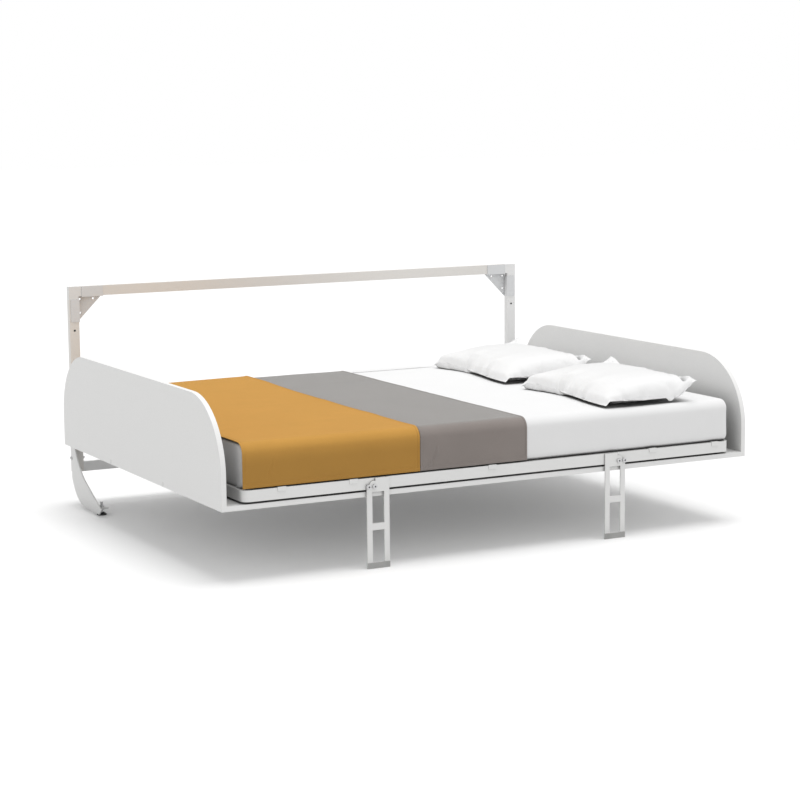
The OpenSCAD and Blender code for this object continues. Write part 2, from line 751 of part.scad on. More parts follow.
// A shouldered pin, its inner head under the mattress edge and a nut outside the arm
module pivot_pin() {
    washer_x = post_x + arm_t + pass_gap;
    bar_x(frame_x - pin_head_t, frame_x, pivot_y, pivot_z, pin_d / 2 + 4);
    bar_x(frame_x, washer_x + pin_washer_t + pin_nut_t + 1, pivot_y, pivot_z, pin_d / 2);
    bar_x(frame_x + plate_t, post_x - pass_gap, pivot_y, pivot_z, pin_d / 2 + 4);
    difference() {
        bar_x(washer_x, washer_x + pin_washer_t, pivot_y, pivot_z, pin_d / 2 + 7);
        bar_x(post_x, washer_x + 10, pivot_y, pivot_z, pin_d / 2 + fit_gap);
    }
    difference() {
        hex_x(washer_x + pin_washer_t, pin_nut_t, pivot_y, pivot_z, pin_d / 2 + 5);
        bar_x(post_x, washer_x + 20, pivot_y, pivot_z, pin_d / 2 + fit_gap);
    }
}
module pivot_pins() color(bright_steel) from_wall() both_sides() pivot_pin();

// ---- front legs ----

// A ladder-shaped plate about its pivot, for a leg whose foot swings towards plus X. Its
// shoulder lies under the stop pin, and its upper corner is cut so that it passes the pin.
module leg_outline() {
    outer = -leg_edge;
    inner = leg_w - leg_edge;
    foot = -leg_pivot_z + foot_wall;
    difference() {
        union() {
            flat([outer, foot], [inner, -stop_r - rest_gap]);
            flat([stop_r + rest_gap, foot], [inner, leg_drop]);
            circle(r = stop_x - stop_r - pass_gap);
        }
        circle(r = leg_bolt_r + run_gap);
        flat([outer + leg_bar, rung_z + leg_rung], [inner - leg_bar, leg_head_low]);
        flat([outer + leg_bar, foot_h - leg_pivot_z], [inner - leg_bar, rung_z]);
    }
}

module leg_plate() translate([0, 0, leg_pivot_z]) plate_y(leg_face, leg_t) leg_outline();
module leg_plate_left() color(white_paint) from_wall() translate([left_pivot_x, 0, 0]) leg_plate();
module leg_plate_right() color(white_paint) from_wall()
    translate([right_pivot_x, 0, 0]) mirror([1, 0, 0]) leg_plate();

// A cap over the leg's lowest rung
module leg_foot() difference() {
    box([-leg_edge, leg_face - foot_wall, 0], [leg_w - leg_edge, leg_back + foot_wall, foot_h]);
    box([-leg_edge - cut, leg_face, foot_wall], [leg_w - leg_edge + cut, leg_back, foot_h + cut]);
}
module leg_foot_left() color("darkgray") from_wall() translate([left_pivot_x, 0, 0]) leg_foot();
module leg_foot_right() color("darkgray") from_wall()
    translate([right_pivot_x, 0, 0]) mirror([1, 0, 0]) leg_foot();

// A round-headed bolt through the front rail's face, with a hexagon socket
module leg_bolt(x, r, shoulder_r) difference() {
    union() {
        bar_y(leg_face - pass_gap, frame_front + 12, x, leg_pivot_z, r);
        bar_y(leg_back + pass_gap, frame_front, x, leg_pivot_z, shoulder_r);
        bar_y(front_y, leg_face - pass_gap, x, leg_pivot_z, leg_head_r);
    }
    translate([x, front_y + 4, leg_pivot_z]) rotate([90, 0, 0]) cylinder(r = 3.5, h = 4 + cut, $fn = 6);
}
module leg_pivot_bolts() color(bright_steel) from_wall()
    for (x = [left_pivot_x, right_pivot_x]) leg_bolt(x, leg_bolt_r, leg_head_r);
module stop_pins() color(bright_steel) from_wall()
    for (x = [left_pivot_x - stop_x, right_pivot_x + stop_x]) leg_bolt(x, stop_r, stop_r + 3);

// ---- bedding ----

// The mattress's section, grown by g on all sides but the underside
module mattress_section(g) difference() {
    flat([mattress_front - g, rail_top], [mattress_rear + g, mattress_top + g]);
    translate([mattress_front - g, mattress_top + g]) corner_waste(mattress_top_r + g, -1, 1);
    translate([mattress_rear + g, mattress_top + g]) corner_waste(mattress_top_r + g, 1, 1);
    translate([mattress_front - g, rail_top]) corner_waste(mattress_low_r + g, -1, -1);
    translate([mattress_rear + g, rail_top]) corner_waste(mattress_low_r + g, 1, -1);
}
module mattress() color("whitesmoke") from_wall() plate_x(-mattress_l / 2, mattress_l) mattress_section(0);

// What a cover's hem leaves bare between two lengths
module below_hem(x0, x1)
    box([x0, mattress_front - 20, rail_top - cut], [x1, mattress_rear + 20, rail_top + hem_z]);

// A cover over the mattress between two lengths, from one growth of its section to another
module cover(x0, x1, inner, outer) difference() {
    plate_x(x0, x1 - x0) mattress_section(outer);
    plate_x(x0 - cut, x1 - x0 + 2 * cut) mattress_section(inner);
    below_hem(x0 - cut, x1 + cut);
}
module fitted_sheet() color("white") from_wall() {
    half = mattress_l / 2;
    cover(-half, half, 0, sheet_t);
    both_sides() difference() {
        plate_x(half, sheet_t) mattress_section(sheet_t);
        below_hem(half - cut, half + 2 * cut);
    }
}
module grey_blanket() color([0.60, 0.59, 0.58]) from_wall()
    cover(spread_x + pass_gap, blanket_x, sheet_t, sheet_t + blanket_t);
module orange_bedspread() color([0.86, 0.60, 0.25]) from_wall()
    cover(-mattress_l / 2, spread_x, sheet_t, sheet_t + spread_t);

// A plain pillow from its rear left corner, its four sides and its top rounded
module pillow(x, y) {
    r = pillow_h / 2 - 1;
    intersection() {
        plate_y(y - pillow_w, pillow_w) pillow_section(x, x + pillow_l, r);
        plate_x(x, pillow_l) pillow_section(y - pillow_w, y, r);
    }
}
module pillow_section(low, high, r) difference() {
    flat([low, pillow_z], [high, pillow_z + pillow_h]);
    for (p = [[low, pillow_z, -1, -1], [low, pillow_z + pillow_h, -1, 1],
              [high, pillow_z, 1, -1], [high, pillow_z + pillow_h, 1, 1]])
        translate([p[0], p[1]]) corner_waste(r, p[2], p[3]);
}
module pillow_back() color("white") from_wall() pillow(back_pillow_x, back_pillow_y);
module pillow_front() color("white") from_wall() pillow(front_pillow_x, front_pillow_y);

// ---- the bed ----

left_post();
right_post();
top_rail();
lower_rail();
corner_block_left();
corner_block_right();
corner_bracket_left();
corner_bracket_right();
foot_blade_left();
foot_blade_right();
blade_bolts();
levelling_screws();
levelling_nuts();
levelling_pads();
hinge_arm_left();
hinge_arm_right();
arm_bolts();
pivot_bushes();
strut_brackets();
strut_bracket_screws();
strut_cylinder_left();
strut_cylinder_right();
strut_rod_left();
strut_rod_right();
front_rail();
rear_rail();
end_rail_left();
end_rail_right();
frame_corners();
centre_beam();
cross_members();
slats();
slat_holders();
mattress_clips();
board_front();
board_middle();
board_rear();
board_spacers();
side_panel_left();
side_panel_right();
panel_brackets();
panel_screws();
pivot_plate_left();
pivot_plate_right();
pivot_plate_bolts();
pivot_pins();
leg_pivot_bolts();
stop_pins();
leg_plate_left();
leg_plate_right();
leg_foot_left();
leg_foot_right();
mattress();
fitted_sheet();
grey_blanket();
orange_bedspread();
pillow_back();
pillow_front();
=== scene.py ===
import bpy, bmesh, math, json
import numpy as np
from mathutils import Matrix, Vector


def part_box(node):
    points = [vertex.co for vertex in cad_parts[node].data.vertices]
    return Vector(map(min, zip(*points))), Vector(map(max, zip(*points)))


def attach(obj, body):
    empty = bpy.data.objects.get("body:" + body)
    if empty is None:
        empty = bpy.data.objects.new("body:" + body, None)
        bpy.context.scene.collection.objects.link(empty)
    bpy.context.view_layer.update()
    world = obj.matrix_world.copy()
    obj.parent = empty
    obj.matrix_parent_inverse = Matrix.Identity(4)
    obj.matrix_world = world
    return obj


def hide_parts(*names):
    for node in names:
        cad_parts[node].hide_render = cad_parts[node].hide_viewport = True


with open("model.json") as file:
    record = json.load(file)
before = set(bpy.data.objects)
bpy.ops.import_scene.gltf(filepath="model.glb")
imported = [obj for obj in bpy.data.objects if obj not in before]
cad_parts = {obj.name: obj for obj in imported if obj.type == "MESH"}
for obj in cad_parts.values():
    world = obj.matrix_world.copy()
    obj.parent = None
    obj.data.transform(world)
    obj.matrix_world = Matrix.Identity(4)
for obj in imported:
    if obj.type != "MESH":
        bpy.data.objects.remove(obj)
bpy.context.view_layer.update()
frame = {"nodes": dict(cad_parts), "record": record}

NODES = frame["nodes"]
SCENE = bpy.context.scene
WAVES = 5              # crossing sines in each octave of wave_noise


# ---------------------------------------------------------------- small helpers
def box(node):
    lo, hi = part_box(node)
    return np.array(lo), np.array(hi)


def smooth(a, b, x):
    """0 at a and 1 at b, with a soft start and end."""
    t = np.clip((x - a) / (b - a), 0, 1)
    return t * t * (3 - 2 * t)


def bell(x, middle, width):
    """1 in the middle, falling off to both sides over about the width."""
    return np.exp(-((x - middle) / width) ** 2)


def wave_noise(x, y, seed, scale, octaves=3):
    """Smooth noise of two coordinates, about -1 to 1: crossing sines from a seeded generator, the
    longest of them about scale long."""
    rng = np.random.default_rng(seed)
    out = np.zeros_like(x)
    total = 0.0
    for octave in range(octaves):
        amp = 0.55 ** octave
        for _ in range(WAVES):
            angle = rng.uniform(0, 2 * math.pi)
            k = 2 * math.pi / (scale * rng.uniform(0.7, 1.4)) * 1.9 ** octave
            phase = rng.uniform(0, 2 * math.pi)
            out += amp * np.sin(k * (x * math.cos(angle) + y * math.sin(angle)) + phase)
        total += amp * WAVES ** 0.5
    return out / total


def add_mesh(name, verts, faces, shade_smooth=True):
    mesh = bpy.data.meshes.new(name)
    mesh.from_pydata([tuple(v) for v in verts], [], [tuple(int(i) for i in f) for f in faces])
    mesh.validate()
    mesh.update()
    if shade_smooth:
        mesh.polygons.foreach_set("use_smooth", [True] * len(mesh.polygons))
    ob = bpy.data.objects.new(name, mesh)
    SCENE.collection.objects.link(ob)
    return ob


def grid_mesh(name, points):
    """A mesh of quads over a grid of points. Seen from outside, the columns run to the left of the rows'
    order, as Y does of X."""
    rows, columns = points.shape[:2]
    faces = []
    for i in range(rows - 1):
        for j in range(columns - 1):
            a, b = i * columns + j, (i + 1) * columns + j
            faces.append((b, b + 1, a + 1, a))
    return add_mesh(name, points.reshape(-1, 3), faces)


def grid_normals(points):
    n = np.cross(np.gradient(points, axis=1), np.gradient(points, axis=0))
    return n / np.maximum(np.linalg.norm(n, axis=2, keepdims=True), 1e-9)


def add_modifier(ob, kind, **settings):
    modifier = ob.modifiers.new(kind.lower(), kind)
    for key, value in settings.items():
        setattr(modifier, key, value)


# ---------------------------------------------------------------- shader nodes
def add_node(nt, kind, inputs=(), **settings):
    """A shader node. Its inputs are given by name or number: a socket is linked, a value is set."""
    n = nt.nodes.new("ShaderNode" + kind)
    for key, value in settings.items():
        setattr(n, key, value)
    for key, value in dict(inputs).items():
        if isinstance(value, bpy.types.NodeSocket):
            nt.links.new(value, n.inputs[key])
        else:
            n.inputs[key].default_value = value
    return n


def new_material(name):
    """A material with its node tree and its Principled BSDF."""
    m = bpy.data.materials.new(name)
    m.use_nodes = True
    return m, m.node_tree, m.node_tree.nodes["Principled BSDF"]


def object_coords(nt):
    return add_node(nt, "TexCoord").outputs["Object"]


def calc(nt, operation, *terms):
    return add_node(nt, "Math", enumerate(terms), operation=operation).outputs[0]


def noise(nt, coords, scale, detail=4.0, rough=0.55):
    inputs = {"Vector": coords, "Scale": scale, "Detail": detail, "Roughness": rough}
    return add_node(nt, "TexNoise", inputs).outputs["Fac"]


def stretched(nt, coords, scale):
    return add_node(nt, "Mapping", {"Vector": coords, "Scale": scale}).outputs["Vector"]


def ramp(nt, fac, stops):
    n = add_node(nt, "ValToRGB", {"Fac": fac})
    elements = n.color_ramp.elements
    elements[0].position, elements[0].color = stops[0][0], (*stops[0][1], 1)
    elements[1].position, elements[1].color = stops[-1][0], (*stops[-1][1], 1)
    for place, colour in stops[1:-1]:
        elements.new(place).color = (*colour, 1)
    return n.outputs["Color"]


def to_range(nt, value, lo, hi, start=0.0, stop=1.0, kind="LINEAR"):
    """Carries a value between start and stop over to lo and hi."""
    inputs = {"Value": value, "From Min": start, "From Max": stop, "To Min": lo, "To Max": hi}
    return add_node(nt, "MapRange", inputs, interpolation_type=kind).outputs["Result"]


def scaled(nt, colour, share):
    return add_node(nt, "VectorMath", {0: colour, "Scale": share}, operation="SCALE").outputs["Vector"]


def bump(nt, bsdf, height, strength, distance):
    n = add_node(nt, "Bump", {"Height": height, "Strength": strength, "Distance": distance})
    nt.links.new(n.outputs["Normal"], bsdf.inputs["Normal"])


def painted_gap_shade(nt, colour, reach, least):
    """Painted shade in narrow gaps: the colour is kept in the open and falls to the share least
    where the surface is closed in within the distance reach, as shade would fall there."""
    open_share = add_node(nt, "AmbientOcclusion", {"Distance": reach}, samples=6).outputs["AO"]
    return scaled(nt, colour, to_range(nt, open_share, least, 1.0, 0.1, 0.72, "SMOOTHSTEP"))


def mix_shaders(nt, fac, first, second):
    return add_node(nt, "MixShader", {0: fac, 1: first, 2: second}).outputs[0]


# ---------------------------------------------------------------- materials
def grey(v):
    return (v, v, v)


def tint(colour, share):
    return tuple(min(1.0, x * share) for x in colour)


def painted(name, colour, rough, peel=0.12):
    """Powder coat: a fine orange peel, a faint change of tone and of gloss, and painted shade in wide and in
    narrow gaps.
    """
    m, nt, bsdf = new_material(name)
    co = object_coords(nt)
    skin = ramp(nt, noise(nt, co, 2.2, 3), [(0.3, tint(colour, 0.97)), (0.7, colour)])
    # painted shade in wide gaps and in narrow ones
    skin = painted_gap_shade(nt, painted_gap_shade(nt, skin, 0.11, 0.5), 0.012, 0.55)
    gloss = to_range(nt, noise(nt, co, 30, 3), rough - 0.06, rough + 0.06)
    nt.links.new(skin, bsdf.inputs["Base Color"])
    nt.links.new(gloss, bsdf.inputs["Roughness"])
    bump(nt, bsdf, noise(nt, co, 900, 2), peel, 0.0002)
    return m


def laminate(name, colour):
    """White board: a very faint grain along the bed, an even satin surface, and painted shade in gaps."""
    m, nt, bsdf = new_material(name)
    co = object_coords(nt)
    grain = noise(nt, stretched(nt, co, (1.5, 30, 30)), 6, 5)
    skin = ramp(nt, grain, [(0.35, tint(colour, 0.975)), (0.65, colour)])
    # painted shade in gaps
    nt.links.new(painted_gap_shade(nt, skin, 0.12, 0.4), bsdf.inputs["Base Color"])
    nt.links.new(to_range(nt, noise(nt, co, 12, 3), 0.38, 0.5), bsdf.inputs["Roughness"])
    bump(nt, bsdf, grain, 0.05, 0.0003)
    return m


def metal(name, colour, rough, brushed=True, tight=None):
    """Bare metal, brushed along the bed or even. Painted shade darkens it in gaps narrower than tight."""
    m, nt, bsdf = new_material(name)
    co = object_coords(nt)
    bsdf.inputs["Metallic"].default_value = 1.0
    marks = noise(nt, stretched(nt, co, (60, 400, 400) if brushed else (50, 50, 50)), 3, 3)
    skin = ramp(nt, marks, [(0.3, tint(colour, 0.86)), (0.7, colour)])
    # painted shade in the narrowest gaps, such as bolt sockets and contact lines
    if tight:
        skin = painted_gap_shade(nt, skin, tight, 0.08)
    nt.links.new(skin, bsdf.inputs["Base Color"])
    nt.links.new(to_range(nt, marks, rough - 0.08, rough + 0.1), bsdf.inputs["Roughness"])
    bump(nt, bsdf, marks, 0.08, 0.0002)
    return m


def plastic(name, colour, rough):
    """Moulded plastic, or waxed thread: a fine even grain and a slight change of tone."""
    m, nt, bsdf = new_material(name)
    co = object_coords(nt)
    skin = ramp(nt, noise(nt, co, 20, 3), [(0.3, tint(colour, 0.85)), (0.7, colour)])
    gloss = to_range(nt, noise(nt, co, 80, 3), rough - 0.07, rough + 0.07)
    nt.links.new(skin, bsdf.inputs["Base Color"])
    nt.links.new(gloss, bsdf.inputs["Roughness"])
    bump(nt, bsdf, noise(nt, co, 1500, 2), 0.2, 0.0002)
    return m


def timber(name, light, dark):
    """Bare slat wood with its grain across the bed."""
    m, nt, bsdf = new_material(name)
    co = object_coords(nt)
    grain = noise(nt, stretched(nt, co, (28, 1.6, 28)), 4, 8, 0.65)
    skin = ramp(nt, grain, [(0.3, dark), (0.5, tint(light, 0.92)), (0.7, light)])
    nt.links.new(skin, bsdf.inputs["Base Color"])
    nt.links.new(to_range(nt, grain, 0.62, 0.48), bsdf.inputs["Roughness"])
    bump(nt, bsdf, grain, 0.15, 0.0006)
    return m


def fabric(name, colour, pitch, sheen, sheen_colour, depth=0.35, mottle=0.05, coarse=1.0,
           painted_top_light=None, reach=0.12, tight=None):
    """Plain weave that repeats over the pitch, with two threads to a repeat, an uneven tone and a sheen.
    A painted top light is given as (low, high, share): from the height low up to high the cloth's colour gets
    paler, by the share.
    It gets painted shade in gaps within reach, and again in gaps narrower than tight."""
    m, nt, bsdf = new_material(name)
    co = object_coords(nt)
    axes = add_node(nt, "SeparateXYZ", {"Vector": co}).outputs
    # a set of round threads along each axis, so that level and hanging cloth both show two of them
    threads = None
    for axis in ("X", "Y", "Z"):
        wave = calc(nt, "SINE", calc(nt, "MULTIPLY", axes[axis], 2 * math.pi / pitch))
        ridge = calc(nt, "ABSOLUTE", wave)
        threads = calc(nt, "ADD", threads, ridge) if threads else ridge
    slub = noise(nt, co, 260 * coarse, 4)
    height = calc(nt, "MULTIPLY_ADD", threads, 0.5, slub)
    tone = calc(nt, "ADD", noise(nt, co, 7, 5), to_range(nt, slub, -0.15, 0.15))
    skin = ramp(nt, tone, [(0.3, tint(colour, 1 - mottle)), (0.7, colour)])
    # painted light: the cloth's colour gets paler towards its top, as if lit more strongly there
    if painted_top_light:
        low, high, share = painted_top_light
        skin = scaled(nt, skin, to_range(nt, axes["Z"], 1.0, share, low, high, "SMOOTHSTEP"))
    # painted shade in gaps within reach, and again within tight
    skin = painted_gap_shade(nt, skin, reach, 0.45)
    if tight:
        skin = painted_gap_shade(nt, skin, tight, 0.35)
    nt.links.new(skin, bsdf.inputs["Base Color"])
    bsdf.inputs["Roughness"].default_value = 0.9
    bsdf.inputs["Specular IOR Level"].default_value = 0.2
    bsdf.inputs["Sheen Weight"].default_value = sheen
    bsdf.inputs["Sheen Roughness"].default_value = 0.45
    bsdf.inputs["Sheen Tint"].default_value = (*sheen_colour, 1)
    bump(nt, bsdf, height, depth, 0.0004)
    return m


WHITE_PAINT = painted("white_paint", (0.87, 0.87, 0.86), 0.42)
# tinted copies of the white paint: painted reflected light on the wall frame, painted shade on its brackets
WALL_PAINT_WARM_LIGHT = painted("wall_frame_paint_warm_light", (0.87, 0.847, 0.812), 0.42)
WALL_PAINT_PALE_LIGHT = painted("wall_frame_paint_pale_light", (0.93, 0.93, 0.925), 0.42)
BRACKET_PAINT_SHADE = painted("bracket_paint_shade", (0.80, 0.81, 0.82), 0.45)
BOARD = laminate("white_board", (0.90, 0.90, 0.89))
STEEL = metal("bright_steel", (0.80, 0.80, 0.81), 0.32, tight=0.007)
CHROME = metal("rod_chrome", (0.80, 0.80, 0.82), 0.15, brushed=False)
BRASS = metal("bush_brass", (0.62, 0.47, 0.22), 0.35)
BLACK = plastic("dark_plastic", (0.022, 0.022, 0.024), 0.5)
CYLINDER = painted("strut_black", (0.02, 0.02, 0.022), 0.35, 0.08)
# grey plastic caps; on the legs' feet their darker grey also stands in for painted shade near the floor
CAP_GREY_AND_SHADE = plastic("cap_grey", (0.44, 0.44, 0.43), 0.5)
SLAT = timber("slat_wood", (0.66, 0.50, 0.33), (0.45, 0.31, 0.18))
TICKING = fabric("mattress_cover", (0.82, 0.82, 0.81), 0.0022, 0.15, grey(1), coarse=0.6)
SHEET = fabric("sheet_white", (0.88, 0.88, 0.88), 0.0009, 0.1, grey(1), depth=0.2, mottle=0.015,
               tight=0.045)
PILLOW = fabric("pillow_white", (0.95, 0.95, 0.95), 0.0009, 0.8, grey(1), depth=0.2, mottle=0.012,
                reach=0.06, tight=0.02)
GREY = fabric("blanket_grey", (0.286, 0.249, 0.230), 0.0018, 0.55, (0.88, 0.98, 1.0), depth=0.5,
              mottle=0.08)
# the orange cover's top is painted paler, as painted light from above
ORANGE = fabric("spread_orange", (0.458, 0.242, 0.0545), 0.0016, 1.0, (1.0, 0.54, 0.16), depth=0.45,
                mottle=0.06, painted_top_light=(0.40, 0.475, 1.35))
GREY_THREAD = plastic("grey_thread", (0.27, 0.25, 0.235), 0.8)
ORANGE_THREAD = plastic("orange_thread", (0.50, 0.25, 0.06), 0.8)

SLOT_MATERIALS = {
    "white_paint": WHITE_PAINT, "white_board": BOARD, "bright_steel": STEEL, "dark_plastic": BLACK,
    "bush_brass": BRASS, "slat_wood": SLAT, "strut_black": CYLINDER, "rod_chrome": CHROME,
    "cap_grey": CAP_GREY_AND_SHADE, "mattress_cover": TICKING, "sheet_white": SHEET, "blanket_grey": GREY,
    "spread_orange": ORANGE, "pillow_white": PILLOW,
}
# the wall frame's white paint is tinted warmer towards the left and paler towards the right as painted
# reflected light, and darker and cooler on the brackets as painted shade
NODE_MATERIALS = {
    "left_post": WALL_PAINT_WARM_LIGHT, "top_rail": WALL_PAINT_WARM_LIGHT, "right_post": WALL_PAINT_PALE_LIGHT,
    "corner_block_right": WALL_PAINT_PALE_LIGHT, "lower_rail": WALL_PAINT_PALE_LIGHT,
    "corner_bracket_left": BRACKET_PAINT_SHADE, "corner_bracket_right": BRACKET_PAINT_SHADE,
}

for part in frame["record"]["subparts"]:
    for material_slot in NODES[part["node"]].material_slots:
        material_slot.material = NODE_MATERIALS.get(part["node"], SLOT_MATERIALS[part["material_slot"]])

# ---------------------------------------------------------------- mattress and sheet
M_LO, M_HI = box("mattress")
S_HI = box("fitted_sheet")[1]
SHEET_T = S_HI[2] - M_HI[2]
TOP_R = 0.035                    # rounding of the mattress's long upper front edge
REAR_R = 0.012                   # of the rear one
LOW_R = 0.027                    # and of both lower ones
LEFT_R = (0.046, 0.050, 0.013)   # rounding of its left end, along X, Y and Z
RIGHT_R = (0.013, 0.013, 0.013)
CORE_INSET = 0.0008              # the mattress lies this far inside its box, so that the sheet lies on it
TUCK = 0.035                     # the sheet goes this far underneath
CLOTH_T = 0.0009                 # its thickness
FOLD_Y = 0.604                   # a doubled strip of it begins here (measured in the photograph)
FOLD_H = 0.0036                  # the step up to that strip
FOLD_HALF = 0.0003               # half the step's width


def spaced(length, step):
    """How many places split the length into steps no longer than step."""
    return max(2, int(math.ceil(length / step)) + 1)


def profile(y0, y1, z0, z1, front_r, rear_r, tuck, low_r=LOW_R, steps=(0.03, 0.02, 0.03), more=(),
            like=None):
    """Points (y, z) and outward normals of a mattress section, from under the front edge, up the front,
    over the top, down the back and under the rear edge. tuck is how far it goes underneath, and steps
    are the spacings below, on the sides and on top, where more gives further places. like takes the
    spacing of an earlier section, so that sections of one skin keep their points in line."""
    points, normals, used = [], [], []
    left = list(like or [])

    def line(a, b, normal, step, first=True, extra=()):
        if like is None:
            t = np.unique(np.r_[np.linspace(0, 1, spaced(math.dist(a, b), step)), extra])
        else:
            t = left.pop(0)
        used.append(t)
        for k in t if first else t[1:]:
            points.append((a[0] + (b[0] - a[0]) * k, a[1] + (b[1] - a[1]) * k))
            normals.append(normal)

    def arc(y, z, r, start, stop, count):
        for angle in np.radians(np.linspace(start, stop, count)[1:]):
            normal = (math.cos(angle), math.sin(angle))
            points.append((y + r * normal[0], z + r * normal[1]))
            normals.append(normal)

    if tuck > 0:
        line((y0 + low_r + tuck, z0), (y0 + low_r, z0), (0, -1), steps[0])
    else:
        points.append((y0 + low_r, z0))
        normals.append((0, -1))
    arc(y0 + low_r, z0 + low_r, low_r, 270, 180, 9)
    line((y0, z0 + low_r), (y0, z1 - front_r), (-1, 0), steps[1], False)
    arc(y0 + front_r, z1 - front_r, front_r, 180, 90, 10)
    width = y1 - rear_r - y0 - front_r
    on_top = [(y - y0 - front_r) / width for y in more]
    line((y0 + front_r, z1), (y1 - rear_r, z1), (0, 1), steps[2], False, on_top)
    arc(y1 - rear_r, z1 - rear_r, rear_r, 90, 0, 8)
    line((y1, z1 - rear_r), (y1, z0 + low_r), (1, 0), steps[1], False)
    arc(y1 - low_r, z0 + low_r, low_r, 0, -90, 9)
    if tuck > 0:
        line((y1 - low_r, z0), (y1 - low_r - tuck, z0), (0, -1), steps[0], False)
    return np.array(points), np.array(normals), used


def mattress_grid(lo, hi, front_r, rear_r, tuck, step_x, more=()):
    """A mattress-shaped skin as one grid: rows along the length, columns round the section.
    Its ends are rounded with their own radii, and it goes tuck under the lower edges."""
    y0, y1, z0, z1 = lo[1], hi[1], lo[2], hi[2]
    base, _, spacing = profile(y0, y1, z0, z1, front_r, rear_r, tuck, more=more)

    def ring(x, in_y, in_z):
        """The section at x, drawn in by in_y at both sides and by in_z on top."""
        radii = max(front_r - in_z, 0.004), max(rear_r - in_z, 0.003)
        section, _, _ = profile(y0 + in_y, y1 - in_y, z0, z1 - in_z, *radii, tuck, like=spacing)
        return np.concatenate([np.full((len(base), 1), x), section], 1)

    def end(x, r, sign):
        """Rows of one end, from underneath its lower edge up and out to the full section."""
        rim = ring(x, r[1], r[2])
        foot = rim.copy()
        foot[:, 1] = np.clip(rim[:, 1], y0 + r[1] + 0.012, y1 - r[1] - 0.012)
        foot[:, 2] = z0 + 0.0005
        rows = []
        if tuck > 0:
            under = foot - (sign * (tuck + 0.012), 0, 0)
            under[:, 1] = np.clip(under[:, 1], y0 + r[1] + 0.045, y1 - r[1] - 0.045)
            rows += [under, foot - (sign * 0.012, 0, 0)]
        rows.append(foot - (sign * 0.004, 0, -0.001))
        rows += [foot + (rim - foot) * t for t in (0.12, 0.3, 0.5, 0.7, 0.85, 0.95, 1.0)]
        for angle in np.radians(np.linspace(80, 0, 9)):
            back, drawn_in = 1 - math.sin(angle), 1 - math.cos(angle)
            rows.append(ring(x - sign * r[0] * back, r[1] * drawn_in, r[2] * drawn_in))
        return rows

    x0, x1 = lo[0] + LEFT_R[0], hi[0] - RIGHT_R[0]
    middle = [ring(x, 0, 0) for x in np.linspace(x0, x1, spaced(x1 - x0, step_x))[1:-1]]
    return np.array(end(lo[0], LEFT_R, -1) + middle + end(hi[0], RIGHT_R, 1)[::-1])


def mattress_skin():
    """The mattress itself, closed underneath."""
    grid = mattress_grid(M_LO + CORE_INSET, M_HI - CORE_INSET, TOP_R, REAR_R, 0.0, 0.08)
    ob = grid_mesh("mattress_core", grid)
    bm = bmesh.new()
    bm.from_mesh(ob.data)
    bmesh.ops.remove_doubles(bm, verts=bm.verts, dist=0.0001)
    bmesh.ops.holes_fill(bm, edges=[edge for edge in bm.edges if edge.is_boundary], sides=0)
    bmesh.ops.recalc_face_normals(bm, faces=bm.faces)
    bm.to_mesh(ob.data)
    bm.free()
    ob.data.polygons.foreach_set("use_smooth", [len(p.vertices) < 5 for p in ob.data.polygons])
    ob.data.materials.append(TICKING)
    return ob


def sheet_relief(points):
    """How far the sheet stands off its even skin: soft waves, pulls and the step of its doubled strip."""
    x, y, z = points[..., 0], points[..., 1], points[..., 2]
    bare = smooth(0.10, 0.14, x)                      # the part that no cover lies on
    side = smooth(M_HI[2] - 0.02, M_HI[2] - 0.06, z) * smooth(M_LO[2] + 0.004, M_LO[2] + 0.03, z)
    waves = 0.0007 * wave_noise(x, y * 0.5 + z, 11, 0.42) * bare
    # short pulls that run up from the lower edge, stronger towards the two ends
    pulls = wave_noise(x + 0.5 * z, z * 0.15, 5, 0.10, 2) * side
    pulls = pulls * (0.3 + 0.7 * smooth(0.75, 0.98, np.abs(x))) * (bare + (x < -0.97))
    strip = smooth(FOLD_Y - FOLD_HALF, FOLD_Y + FOLD_HALF, y) * smooth(0.08, 0.11, x)
    strip = strip * smooth(0.56, 0.42, x) * smooth(S_HI[2] - 0.15, S_HI[2] - 0.01, z)
    return waves + 0.0011 * pulls + FOLD_H * strip


def sharpen_fold(mesh, points):
    """Keeps the two edges of the doubled strip's step sharp."""
    x, y, z = points.reshape(-1, 3).T
    at_fold = (np.abs(y - FOLD_Y) < 2 * FOLD_HALF) & (z > S_HI[2] - 0.002) & (x > 0.09) & (x < 0.52)
    ends = np.empty(len(mesh.edges) * 2, int)
    mesh.edges.foreach_get("vertices", ends)
    mesh.edges.foreach_set("use_edge_sharp", at_fold[ends[0::2]] & at_fold[ends[1::2]])


def sheet_skin():
    """The fitted sheet, stretched over the mattress and tucked underneath."""
    lo = np.array([M_LO[0] - SHEET_T, M_LO[1] - SHEET_T, M_LO[2] + 0.0002])
    hi = M_HI + SHEET_T
    step = FOLD_Y + np.array([-20, -4, -1, 1, 4, 20]) * FOLD_HALF
    grid = mattress_grid(lo, hi, TOP_R + SHEET_T, REAR_R + SHEET_T, TUCK, 0.02, step)
    outward = grid_normals(grid)
    outward *= np.sign(outward[grid.shape[0] // 2, grid.shape[1] // 2, 2])
    grid = grid + outward * sheet_relief(grid)[..., None]
    grid[..., 2] = np.maximum(grid[..., 2], M_LO[2] + 0.0001)
    ob = grid_mesh("fitted_sheet_cloth", grid)
    sharpen_fold(ob.data, grid)
    add_modifier(ob, "SOLIDIFY", thickness=CLOTH_T, offset=-1.0)
    ob.data.materials.append(SHEET)
    return ob


mattress_core = mattress_skin()
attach(mattress_core, "bed")
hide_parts("mattress")

fitted = sheet_skin()
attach(fitted, "bed")
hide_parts("fitted_sheet")

